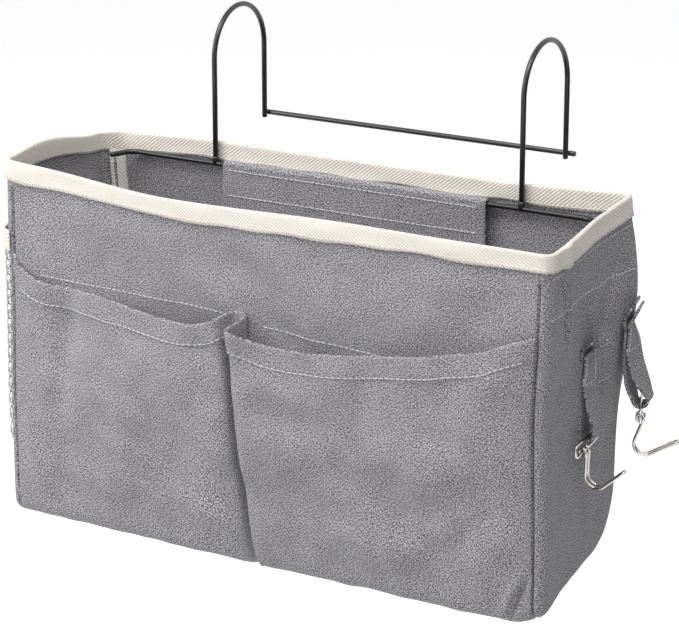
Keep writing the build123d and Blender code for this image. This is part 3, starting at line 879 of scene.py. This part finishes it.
# Each row is one upright line of the cloth, from seam to seam: x at the mouth, x at the bottom,
# how far it stands off the panel at the mouth, and the height of the mouth there.
LEFT_POCKET = [
    (-153.7, -153.7, 0.4, 150.0),
    (-151.5, -151.5, 0.9, 145.0),
    (-146.0, -147.0, 1.8, 140.6),
    (-133.0, -134.0, 3.4, 137.2),
    (-119.0, -121.0, 4.4, 136.8),
    (-103.0, -105.0, 7.2, 137.4),
    (-79.0, -79.0, 9.6, 135.0),
    (-45.0, -41.0, 11.4, 132.4),
    (-29.0, -17.0, 11.6, 135.2),
    (-22.0, -9.4, 11.0, 138.8),
    (-20.0, -8.0, 8.8, 139.9),
    (-18.9, -7.0, 5.2, 140.6),
    (-17.6, -6.0, 1.8, 141.2),
    (-15.0, -4.6, 0.6, 141.4),
    (-10.2, -2.0, 0.5, 141.0),
]
RIGHT_POCKET = [
    (-9.2, -0.8, 0.9, 140.2),
    (-9.9, -1.1, 4.0, 139.0),
    (-11.2, -2.0, 8.0, 137.4),
    (-13.0, -3.2, 12.0, 135.6),
    (-13.0, -3.0, 14.2, 134.6),
    (-10.0, -0.4, 15.0, 133.8),
    (-5.0, 3.5, 14.4, 132.4),
    (4.0, 11.0, 13.0, 129.6),
    (16.0, 21.0, 11.6, 128.0),
    (42.0, 45.0, 9.6, 129.4),
    (84.0, 85.0, 8.0, 134.6),
    (112.0, 113.0, 7.0, 140.0),
    (128.0, 128.0, 6.2, 143.4),
    (137.0, 138.0, 5.4, 148.0),
    (147.0, 148.0, 3.4, 152.6),
    (153.7, 153.7, 1.0, 154.6),
]

# Soft ridges and hollows of the pockets: two ends (x, z), width and height.
CREASES = [
    (-120, 134, -124, 60, 7.0, -4.2),
    (-147, 62, -137, 14, 4.5, 1.8),
    (-130, 80, -126, 16, 6.0, -1.8),
    (-40, 33, -8, 5, 3.4, 1.5),
    (-52, 26, -22, 6, 4.0, -1.0),
    (132, 62, 102, 36, 6.5, 1.6),
    (118, 40, 140, 22, 6.0, -1.3),
    (6, 60, 30, 10, 7.0, -1.2),
    (60, 120, 86, 60, 12.0, -1.2),
    (-75, 118, -90, 50, 14.0, 1.1),
]


def even_line(points, step):
    """Smooth curve through rows of numbers, sampled at even distances in the first three of them.

    Gives the samples and their distances along the curve.
    """
    points = np.asarray(points, float)
    ends = 2 * points[:1] - points[1:2], 2 * points[-1:] - points[-2:-1]
    padded = np.concatenate([ends[0], points, ends[1]])
    t = np.linspace(0, len(points) - 1, 60 * len(points))
    k = np.minimum(t.astype(int), len(points) - 2)
    f = (t - k)[:, None]
    p0, p1, p2, p3 = padded[k], padded[k + 1], padded[k + 2], padded[k + 3]
    square, cube = 2 * p0 - 5 * p1 + 4 * p2 - p3, 3 * p1 - p0 - 3 * p2 + p3
    dense = 0.5 * (2 * p1 + (p2 - p0) * f + square * f**2 + cube * f**3)
    run = run_of(dense[:, :3])
    at = np.linspace(0, run[-1], max(int(run[-1] / step), 2) + 1)
    return read_off(at, run, dense), at


def creased(x, z):
    """Height of the soft ridges and hollows at each place."""
    total = np.zeros_like(x)
    for x0, z0, x1, z1, width, height in CREASES:
        length = math.hypot(x1 - x0, z1 - z0)
        way_x, way_z = (x1 - x0) / length, (z1 - z0) / length
        along = ((x - x0) * way_x + (z - z0) * way_z) / length
        beside = (x - x0) * way_z - (z - z0) * way_x
        reach = ease(along, -0.15, 0.25) * (1 - ease(along, 0.75, 1.15))
        total += height * bump(beside, 0, width) * reach
    return total


def pocket_grid(rows, seed):
    """Outer face of a front pocket, its cloth coordinates, and how far it is below the mouth."""
    # The mouth's height counts only a quarter in the spacing of the lines.
    lines, across = even_line([(x, stand, 0.25 * top, low) for x, low, stand, top in rows], 1.5)
    x_top, stand, mouth, x_low = lines.T[..., None]
    across = across[:, None]
    up = np.concatenate([np.linspace(0, 0.9, 52)[:-1], np.linspace(0.9, 1, 10)])
    height = POCKET_LOW_RUN - (WALL_TOP - 4 * mouth)
    run = POCKET_LOW_RUN - height * up
    base, away = outline_surface(x_low + (x_top - x_low) * up, run)
    to_seam = np.minimum(across, across[-1] - across)
    edge = ease(to_seam, 0, 30)
    off = stand * (0.10 + 0.90 * (1 - (1 - up) ** 2.2)) + POCKET_BELLY * np.sin(np.pi * up) * edge
    loose = edge * ease(up, 0.0, 0.25)
    off = off + loose * (POCKET_WAVE * field(base, wave_field(seed, 16, 42)) + POCKET_FULL)
    off = off + POCKET_PUCKER * field(base, PUCKER) * edge
    off = off + creased(x_low + (x_top - x_low) * up, base[..., 2]) * ease(to_seam, 0, 12)
    outer = base + away * np.maximum(off, 0.25)[..., None]
    return outer, stacked(across, -run), (1 - up) * height


def pocket_side(grid):
    """1 or -1, so that the grid's normals times it point to the front."""
    return 1 if grid_normals(grid)[..., 1].mean() < 0 else -1


def front_pocket(name, rows, seed, node):
    """One front pocket with its turned hem and the stitches that hold it."""
    outer, cloth, below = pocket_grid(rows, seed)
    hem = HEM_CLOTH * ease(HEM + 1.0 - below, 0, 1.5)
    outer = outer + grid_normals(outer) * hem[..., None] * pocket_side(outer)
    flip = pocket_side(outer) < 0
    piece = sheet_object(name, outer, cloth, POCKET_CLOTH + hem, CANVAS, flip=flip)
    finish_piece(piece, "bag", "grey_canvas", node)
    normals = grid_normals(outer) * pocket_side(outer)
    inner = range(3, len(outer) - 3)
    path = [read_off(HEM, below[k][::-1], outer[k, ::-1]) for k in inner]
    ways = [read_off(HEM, below[k][::-1], normals[k, ::-1]) for k in inner]
    row = sew(name + "_hem_stitches", (path, ways))
    as_sheet(cloth)


# ---- Seam tapes inside the ends ----
TAPE_PAST_SEAM, TAPE_INWARD = 1.2, 6.5


def seam_tape(name, way, node):
    """Twill tape over the seam of one end, up the front, across the base and up the back."""
    hidden = TAPE_DEPTH - TAPE - 1.0
    runs = np.linspace(hidden, OUTLINE_RUN[-1] - hidden, 240)[None, :]
    x = way * np.linspace(SEAM_X - TAPE_INWARD, SEAM_X + TAPE_PAST_SEAM, 9)[:, None]
    base, away = outline_surface(x, runs)
    grid = base - away * (CLOTH + 0.1 + TAPE + 1.1 * seam_groove(x, base[..., 2]))[..., None]
    flip = (grid_normals(grid) * -away).sum(axis=2).mean() < 0
    piece = sheet_object(name, grid, stacked(runs, x), TAPE, TWILL, flip=flip)
    return finish_piece(piece, "bag", "cream_twill", node)


# ---- Net pocket on the left end ----
net_low, _ = node_span("mesh_pocket")
tape_low, tape_high = node_span("mesh_pocket_tape")
NET_CELL = 8.4
NET_PITCH = 6.6
NET_STRAND = 0.42
NET_FRONT, NET_BACK = -49.6, 43.0
NET_TAPE_OFF = 0.9
NET_STEPS = 12
NET_KNOT = 1.35
NET_LIMITS = (-49.9, 43.2)
NET_LAYERS = 0.35
NET_CORNER_WAY = np.array([-0.75, -0.65, 0])
TAPE_CORNER = 6.0
# How far the net stands off the end, from its back seam to the front corner: y and distance.
NET_PLAN = [
    (43.5, 0.3), (40.0, 3.0), (30.0, 5.8), (10.0, 7.2), (-15.0, 7.2),
    (-32.0, 5.4), (-42.0, 3.0), (-47.5, 1.3), (-49.95, 0.6),
]


def net_surface(y, z, extra):
    """Net's face, this much further out, and the way it stands off the end panel."""
    y, z = np.broadcast_arrays(np.asarray(y, float), np.asarray(z, float))
    plan_y, plan_off = np.array(NET_PLAN)[::-1].T
    stand = np.interp(y, plan_y, plan_off) * (0.35 + 0.65 * ease(z, net_low[2], tape_high[2] - 20))
    stand = stand + 0.45 * ease(-y, 38, 48) + extra
    base, away = end_surface(-1, y, z)
    corner = ease(-y, 42, 50)[..., None]
    lean = away * (1 - corner) + NET_CORNER_WAY * corner
    return base + lean * stand[..., None], lean


def net_pocket():
    """Knotted net of waved strands, and the stitched tape along its mouth."""
    strands = []
    rows = np.arange(net_low[2] - 1.0, tape_low[2] + 2.0, NET_CELL / NET_STEPS)
    wave = NET_KNOT * np.cos(TURN * (rows - net_low[2]) / NET_CELL)
    wave = NET_PITCH / 4 * np.clip(wave, -1, 1)
    for k in range(int((NET_BACK - NET_FRONT) / (NET_PITCH / 2)) + 1):
        at = np.clip(NET_FRONT + k * NET_PITCH / 2 + (wave if k % 2 else -wave), *NET_LIMITS)
        points, _ = net_surface(at, rows, NET_LAYERS * (k % 2))
        strands.append(tube(points, NET_STRAND, THREAD_SIDES))
    net = new_object("net_pocket_mesh", *joined(strands), NET)
    finish_piece(net, "bag", "pale_net", "mesh_pocket")
    round_corner = -50 + TAPE_CORNER * (1 - np.cos(np.linspace(0.12, np.pi / 2, 14)))
    y = np.concatenate([round_corner, np.linspace(-43, 43.6, 80)])[:, None]
    z = np.linspace(tape_low[2], tape_high[2], 9)[None, :]
    grid, _ = net_surface(y, z, NET_TAPE_OFF)
    cloth = stacked(y, z)
    flip = grid_normals(grid)[..., 0].mean() > 0
    tape = sheet_object("net_pocket_tape", grid, cloth, TAPE, TWILL, flip=flip)
    finish_piece(tape, "bag", "cream_twill", "mesh_pocket_tape")
    for z_row in (tape_low[2] + 1.6, tape_high[2] - 1.6):
        row = net_surface(np.linspace(-48.5, NET_BACK, 160), z_row, NET_TAPE_OFF)
        sew("net_tape_stitches_%d" % z_row, row, slot="cream_twill")
    as_sheet(cloth)


# ---- Retaining flap and its fastening tapes ----
flap_low, flap_high = node_span("retaining_flap")
heading_low, heading_high = node_span("flap_heading")
HINGE = np.array([(flap_low[1] + flap_high[1]) / 2, heading_low[2] + 0.4])
FLAP_FOLDS = wave_field(61, 10, 55)
FLAP_CLOTH = 0.85
FLAP_HALF = 0.42
FLAP_BEND = 1.4
FLAP_BELLY, FLAP_WAVE = 0.45, 0.45
NAP = 0.3


def flap_cloth():
    """Flap in one piece with its heading, from its sewn edge over the bar and down."""
    wall = heading_high[1] + 0.2
    top = HINGE[1] + 0.05
    corners = [(wall, BAR_Z - 4.0), (wall, top), (HINGE[0], top), (HINGE[0], flap_low[2])]
    line = rounded_path(corners, [FLAP_BEND, FLAP_BEND], 1.4)
    x = np.linspace(flap_low[0], flap_high[0], 110)[:, None]
    grid = stacked(x, line[:, 0], line[:, 1])
    hang = ease(BAR_Z - 2 - line[:, 1], 0, 20) * (line[:, 0] < BAR_Y)
    grid[..., 1] -= 0.15 + hang * (FLAP_BELLY + FLAP_WAVE * field(grid, FLAP_FOLDS))
    cloth = stacked(x, run_of(line))
    flip = grid_normals(grid)[:, len(line) // 2 :, 1].mean() > 0
    face = grid + grid_normals(grid) * (-FLAP_HALF if flip else FLAP_HALF)
    piece = sheet_object("flap_cloth", face, cloth, FLAP_CLOTH, CANVAS, flip=flip)
    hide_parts("retaining_flap", "flap_heading")
    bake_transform(piece)
    for k, z in enumerate((BAR_Z - 1.5, BAR_Z - 17.0)):
        column = np.argmin(np.abs(line[:, 1] - z) + 50 * (line[:, 0] > BAR_Y))
        path = face[2:-2, column]
        row = (path, np.broadcast_to([0, -1.0, 0], path.shape))
        sew("flap_stitches_%d" % k, row, body="flap")
    as_sheet(cloth)


def fastening_tape(name, node, body, material, face):
    """Strip of fastening tape with a rough nap on the face that meets the other strip."""
    low, high = node_span(node)
    x = np.linspace(low[0], high[0], 230)[:, None]
    z = np.linspace(low[2], high[2], 28)[None, :]
    nap = 0.28 * np.random.RandomState(71).rand(x.size, z.size)
    nap[:2], nap[-2:], nap[:, :2], nap[:, -2:] = NAP, NAP, NAP, NAP
    grid = stacked(x, high[1] - nap if face > 0 else low[1] + nap, z)
    cloth = stacked(x, z)
    flip = (grid_normals(grid)[..., 1].mean() > 0) != (face > 0)
    thickness = (high[1] - low[1]) - 0.4
    piece = sheet_object(name, grid, cloth, thickness, material, flip=flip)
    as_sheet(cloth)
    return finish_piece(piece, body, "fastening_tape", node)


# ---- Straps on the right end ----
STRAP_WIDTH = 13.0
STRAP_CLOTH = 1.2
STRAP_SLOT = 5.0
STRAP_DROP = 46.0
EAR_RISE = 11.0
EAR_OUT = 9.0
STITCH_TAB = 3.0
STRAP_STITCH = 2.6
# Ripples along the strap, as height and length, and how far its edges curl and it narrows.
LONG_RIPPLE, SHORT_RIPPLE = (0.22, 7.0), (0.12, 2.6)
STRAP_CURL, STRAP_NARROWING = 0.35, 0.04


def turning(axis, degrees):
    """Rotation about one of the axes."""
    return np.array(Matrix.Rotation(math.radians(degrees), 3, axis))


def strap_band(name, node, y, stitch, tilt, yaw, lean, twist, full, closed, seed):
    """Folded strap with its ends turned out, sewn to the end and open in the fold.

    stitch is the height it is sewn at and closed how far it stays shut below that; tilt, yaw and
    lean turn the whole strap, twist turns its fold, and full is how much the outer leg stands out.
    """
    inner = STRAP_CLOTH / 2
    outer = inner + 1.1 * STRAP_CLOTH
    fold = inner + STRAP_CLOTH + STRAP_SLOT
    corners = [
        (inner + EAR_OUT, EAR_RISE),
        (inner, STITCH_TAB),
        (inner, -STRAP_DROP),
        (fold + full, -STRAP_DROP),
        (fold + 0.8 * full, -0.8 * STRAP_DROP),
        (outer + 0.1, -closed),
        (outer, 0),
        (outer + EAR_OUT, EAR_RISE - STITCH_TAB),
    ]
    bend = 0.45 * (fold - inner)
    line = rounded_path(corners, [1.5, bend, bend, 8.0, 10.0, 1.5], 0.8)
    way = unit(np.gradient(line, axis=0))
    across = np.linspace(-STRAP_WIDTH / 2, STRAP_WIDTH / 2, 15)[:, None]
    run = run_of(line)
    phases = np.random.RandomState(seed).uniform(0, 6.28, 3)
    off = LONG_RIPPLE[0] * np.sin(run / LONG_RIPPLE[1] + phases[0] + across / 9.0)
    off = off + SHORT_RIPPLE[0] * np.sin(run / SHORT_RIPPLE[1] + phases[1])
    off = off - STRAP_CURL * (2 * np.abs(across) / STRAP_WIDTH) ** 3
    narrow = 1 - STRAP_NARROWING * np.sin(run / 13.0 + phases[2]) ** 2
    out, along = line[:, 0] - way[:, 1] * off, across * narrow
    up = line[:, 1] + way[:, 0] * off
    # The twist grows below the stitches and comes back before the fold that holds the ring.
    back = 1 - 0.92 * ease(-up, 0.66 * STRAP_DROP, 0.96 * STRAP_DROP)
    angle = np.radians(twist) * ease(-up, 0, 16) * back
    pivot = inner + 0.5 * (fold - inner) * ease(-up, closed, STRAP_DROP)
    out, along = (
        pivot + (out - pivot) * np.cos(angle) - along * np.sin(angle),
        (out - pivot) * np.sin(angle) + along * np.cos(angle),
    )
    turn = turning("X", tilt) @ turning("Z", yaw) @ turning("Y", -lean)
    root = np.array([WIDTH / 2, y, stitch])
    shift = end_surface(1, y, stitch)[0] - root
    grid = stacked(out, along, up) @ turn.T + root
    grid = grid + shift * ease(up, -STRAP_DROP + 6, 0)[..., None]
    cloth = stacked(across, run)
    flip = (grid_normals(grid)[:, len(line) // 4] @ turn[:, 0]).mean() > 0
    face = grid + grid_normals(grid) * (-inner if flip else inner)
    piece = sheet_object(name, face, cloth, STRAP_CLOTH, CANVAS, flip=flip)
    finish_piece(piece, "bag", "grey_canvas", node)
    # Stitches on the outer leg: across it at the top and where it opens, and down its edges.
    inner_leg = 40 * (np.arange(len(line)) < len(line) // 2)
    column = int(np.argmin(np.abs(line[:, 1] - 0.5) + inner_leg))
    low = int(np.argmin(np.abs(line[:, 1] + closed) + inner_leg))
    paths = [(face[1:-1, place], 0.25) for place in (column, column - 4, low)]
    paths += [(face[edge, low:column], 0.2) for edge in (1, -2)]
    rows = [(p, np.broadcast_to(turn[:, 0], p.shape), lift, STRAP_STITCH) for p, lift in paths]
    row = sew(name + "_stitches", *rows)
    as_sheet(cloth)


# ---- Wires ----
RING_LENGTH = 27.4
RING_PITCH = 6.8
RING_SHIFT = 4.5
THIN_WIRE = 0.8
HOOK_STRANDS = 3.2
EYE = 1.95
EYE_STEPS = 28
EYE_RISE = 0.5
BOW_STEPS = 14
SHANK = 29.0
LIP = 30.0
HOOK_ANGLE = 46.0
HOOK_BEND = 6.0
BAR_BEND = 8.0
ROUND_WIRE = 20
ARCH_STEPS = 40

# Rounded end of a wire: distance from its tip and share of its radius.
CAP = ((0.0, 0.55), (0.12, 0.8), (0.35, 0.96), (0.7, 1.0))

# Welds: place along the weld and radius.
HOOK_WELD = ((-0.9, 1.5), (0.0, 1.85), (1.2, 1.85), (2.2, 1.75), (3.2, 1.6), (4.0, 1.5))
ROD_WELD = ((0.4, 1.2), (1.0, 1.55), (1.6, 1.6), (2.2, 1.5), (2.6, 1.1))


def joint_frame(name):
    """Place and turned axes of a ring or hook, from its joint: X off the end, Y along the ring."""
    joint = next(j for j in frame["joints"] if j["name"] == name)
    along = -unit(joint["axis"])
    out = unit(np.cross(along, [0, 0, 1]))
    axes = np.stack([out, along, np.cross(out, along)], axis=1)
    return np.array(joint["pos_m"], float) / MM - HOME, axes


def ring_and_hook(side, shank):
    """Oblong ring in a strap's fold and the hairpin J hook that hangs from it."""
    place, axes = joint_frame(side + "_ring_swing")
    half = RING_LENGTH / 2
    corners = [(0, half, 0), (0, half, -RING_PITCH), (0, -half, -RING_PITCH), (0, -half, 0)]
    path = curved_path(corners, 0.45 * RING_PITCH, closed=True) - [0, RING_SHIFT, 0]
    wire = tube(path @ axes.T + place, THIN_WIRE, 16, True)
    ring = new_object(side + "_ring_wire", *wire, NICKEL)
    finish_piece(ring, side + "_ring", "bright_nickel", side + "_ring")
    # The hook: an eye, a strand down to the bend and up to the tip, a bow, and the same back.
    place, axes = joint_frame(side + "_hook_swing")
    slant, rise = math.radians(shank), math.radians(90 - shank - HOOK_ANGLE)
    lip = np.array([math.cos(rise), 0, math.sin(rise)])
    corner = SHANK * np.array([-math.sin(slant), 0, -math.cos(slant)])
    tip = corner + lip * LIP
    aside = EYE * np.array([math.cos(slant), 0, -math.sin(slant)])
    start = math.atan2(aside[2], aside[0])
    radius = HOOK_STRANDS / 2
    strands = []
    for way in (-1, 1):
        shift = np.array([0, way * radius, 0])
        share = np.linspace(0, 1, EYE_STEPS + 1)
        angle = start + TURN * share
        eye = stacked(EYE * np.cos(angle), way * (radius + EYE_RISE * share), EYE * np.sin(angle))
        shaft = curved_path([aside + shift, corner + shift, tip + shift], HOOK_BEND)
        strands.append(np.concatenate([eye[::-1], shaft[1:]]))
    turn = math.pi * np.arange(1, BOW_STEPS)[:, None] / BOW_STEPS
    bow = tip + lip * radius * np.sin(turn) - np.array([0, radius, 0]) * np.cos(turn)
    path = np.concatenate([strands[0], bow, strands[1][::-1]])
    hook = new_object(side + "_hook_wire", *tube(path @ axes.T + place, THIN_WIRE, 14), NICKEL)
    finish_piece(hook, side + "_hook", "bright_nickel", side + "_hook")


def capped(path, radius):
    """Round wire along this path, with its two ends rounded."""
    path = np.asarray(path, float)
    first, last = unit(path[1] - path[0]), unit(path[-2] - path[-1])
    head = [path[0] + first * at for at, _ in CAP]
    tail = [path[-1] + last * at for at, _ in CAP][::-1]
    ends = [share * radius for _, share in CAP]
    radii = ends + [radius] * (len(path) - 2) + ends[::-1]
    return tube(np.concatenate([head, path[1:-1], tail]), radii, ROUND_WIRE)


def hanger_wires():
    """Lower bar, the two rail hooks with their welds, and the rod between the rear legs."""
    reach = bar_high[0] - HOME[0] - WIRE - 0.4
    bend_x = reach - 5.8
    tip_y = node_span("lower_bar")[0][1] + 0.9
    half = [(bend_x, BAR_Y, BAR_Z), (reach, tip_y, BAR_Z)]
    corners = [(-x, y, z) for x, y, z in half[::-1]] + half
    bar = new_object("bar_wire", *capped(curved_path(corners, BAR_BEND), WIRE), BLACK)
    finish_piece(bar, "hanger", "black_wire", "lower_bar")
    rod_low, rod_high = node_span("rear_crossbar")
    rod_y, rod_z = (rod_low[1:] + rod_high[1:]) / 2
    for side in ("left", "right"):
        low, high = node_span(side + "_hook_wire")
        x = (low[0] + high[0]) / 2
        rear = high[1] - WIRE
        arch = (rear - BAR_Y) / 2
        top = high[2] - WIRE - arch
        a = math.pi * (1 - np.arange(ARCH_STEPS + 1) / ARCH_STEPS)
        bow = stacked(x, BAR_Y + arch + arch * np.cos(a), top + arch * np.sin(a))
        parts = [capped([(x, BAR_Y, BAR_Z + 0.6), *bow, (x, rear, rod_z - 2.7)], WIRE)]
        at, radii = np.array(HOOK_WELD).T
        parts.append(tube(stacked(x, BAR_Y, BAR_Z + at), radii, ROUND_WIRE))
        at, radii = np.array(ROD_WELD).T
        parts.append(tube(stacked(x, rear + at, rod_z), radii, 16))
        piece = new_object(side + "_rail_hook", *joined(parts), BLACK)
        finish_piece(piece, "hanger", "black_wire", side + "_hook_wire")
    ends = [(rod_low[0], rod_y, rod_z), (rod_high[0], rod_y, rod_z)]
    rod = new_object("rod_wire", *capped(ends, WIRE), BLACK)
    finish_piece(rod, "hanger", "black_wire", "rear_crossbar")


# ---- Build ----
wrap_panel("canvas_front", 0, RUN_FRONT, "front_panel")
wrap_panel("canvas_base", RUN_FRONT, RUN_BACK, "base_panel")
wrap_panel("canvas_back", RUN_BACK, OUTLINE_RUN[-1], "back_panel")
side_panel("canvas_left_end", -1, "left_side_panel")
side_panel("canvas_right_end", 1, "right_side_panel")
rim_binding()
front_pocket("pocket_left", LEFT_POCKET, 52, "left_pocket")
front_pocket("pocket_right", RIGHT_POCKET, 53, "right_pocket")
seam_tape("tape_left_seam", -1, "left_seam_tape")
seam_tape("tape_right_seam", 1, "right_seam_tape")
net_pocket()
flap_cloth()
fastening_tape("tape_loops", "loop_tape", "flap", LOOPS, 1)
fastening_tape("tape_hooks", "hook_tape", "bag", HOOKS, -1)
strap_band("strap_front", "front_strap", 3.0, 130.0, 2.0, 0.0, 0.0, -4.0, 0.8, 16.0, 81)
strap_band("strap_rear", "rear_strap", 36.0, 136.5, 0.0, 14.0, 18.0, -25.0, 1.2, 14.0, 82)
ring_and_hook("front", 2.0)
ring_and_hook("rear", 16.0)
hanger_wires()


# ---- Stitch lines on the canvas ----
FLAT_LIFT = 0.1
LONG_ROW = np.linspace(-47, 47, 120)
TOP_SEAM = 163.7


def end_row(name, way, y, z, inside=False):
    """Level row of stitches on an end, on its outer or inner face."""
    points, away = end_surface(way, y, np.full(len(y), z))
    if inside:
        points, away = points - away * CLOTH, -away
    sew("end_stitches_" + name, (points, away, FLAT_LIFT))


def front_row(name, x, z):
    """Row of stitches on the front panel."""
    sew("panel_stitches_" + name, outline_surface(x, WALL_TOP - z) + (FLAT_LIFT,))


front_row("left", np.linspace(-138, -22, 120), np.linspace(139.5, 139.0, 120))
front_row("right", np.linspace(0, 80, 90), np.linspace(134.0, 129.5, 90))
end_row("inside", -1, np.linspace(-46, 46, 120), TOP_SEAM, inside=True)
end_row("left", -1, LONG_ROW, TOP_SEAM)
end_row("top", 1, LONG_ROW, BINDING_LOW - 3.0)
end_row("upper", 1, LONG_ROW, TOP_SEAM)
end_row("middle", 1, np.linspace(11, 27, 24), 129.0)
end_row("lower", 1, np.linspace(11, 29, 24), 110.5)


# ---- Stage, light and camera ----
def stage_sheet(name, corners, nodes):
    """Flat four-cornered piece of the studio, which isn't a part of the object."""
    mesh = bpy.data.meshes.new(name)
    mesh.from_pydata(corners, [], [(0, 1, 2, 3)])
    mesh.materials.append(nodes.made)
    made = put_in_scene(name, mesh)
    return made


def area_light(name, energy, size, place, target):
    data = bpy.data.lights.new(name, "AREA")
    data.energy = energy
    data.shape = "RECTANGLE"
    data.size, data.size_y = size
    lamp = put_in_scene(name, data)
    lamp.location = place
    lamp.rotation_euler = (target - place).to_track_quat("-Z", "Y").to_euler()


BAG_MIDDLE = Vector(to_row([0, 0, 110]).tolist())
FLOOR_REACH = 6.0
FLOOR_DROP = 0.43
FLOOR_GLOW = 0.6
SKY_LIGHT = 0.33

# The camera and reflections see the floor as white, and it still takes shadows.
paint = Nodes("studio_floor_paint")
glow = paint.math("MULTIPLY", paint.seen_directly(), FLOOR_GLOW)
paint.set(Base_Color=(0.92, 0.92, 0.92, 1), Roughness=0.9)
paint.set(Emission_Color=(1, 1, 1, 1), Emission_Strength=glow)
ways = ((-1, -1), (1, -1), (1, 1), (-1, 1))
floor_z = BAG_MIDDLE.z - FLOOR_DROP
stage_sheet("studio_floor", [(FLOOR_REACH * x, FLOOR_REACH * y, floor_z) for x, y in ways], paint)

for name, energy, size, place, aim in (
    ("key", 4.9, (0.6, 0.6), (-0.80, -0.66, 0.52), (-0.06, 0, 0)),
    ("fill", 5.8, (0.9, 0.9), (1.1, -0.5, 1.5), (0, 0, 0)),
    ("top", 15.5, (1.0, 0.8), (-0.1, -0.65, 1.45), (0, 0, 0)),
):
    area_light(name, energy, size, BAG_MIDDLE + Vector(place), BAG_MIDDLE + Vector(aim))

# A dark card out of view on the right shapes the reflections and keeps the end in shade.
card = [(1.15, -0.55, -0.6), (1.15, 1.1, -0.6), (1.15, 1.1, 0.55), (1.15, -0.55, 0.55)]
paint = Nodes("shade_card_paint")
paint.set(Base_Color=(0.02, 0.02, 0.02, 1))
shade_card = stage_sheet("shade_card", [BAG_MIDDLE + Vector(corner) for corner in card], paint)
shade_card.visible_camera = False
shade_card.visible_shadow = False

sky = Nodes("studio", bpy.data.worlds, "Background")
sky.set(Color=(1, 1, 1, 1), Strength=sky.between(sky.seen_directly(), SKY_LIGHT, 1.0))
bpy.context.scene.world = sky.made
bpy.context.scene.view_settings.view_transform = "Standard"

AZIMUTH = math.radians(29.65)
ELEVATION = math.radians(17.89)
DISTANCE = 1.5042
TARGET = Vector(to_row([16.4, 2.0, 129.0]).tolist())
across, level = math.sin(AZIMUTH), math.cos(ELEVATION)
backwards = Vector((across * level, -math.cos(AZIMUTH) * level, math.sin(ELEVATION)))
lens = bpy.data.cameras.new("photo_camera")
lens.sensor_width = 36.0
lens.lens = 149.0
lens.clip_start = 0.05
camera = put_in_scene("photo_camera", lens)
camera.location = TARGET + backwards * DISTANCE
camera.rotation_euler = backwards.to_track_quat("Z", "Y").to_euler()
bpy.context.scene.camera = camera

bpy.context.view_layer.update()
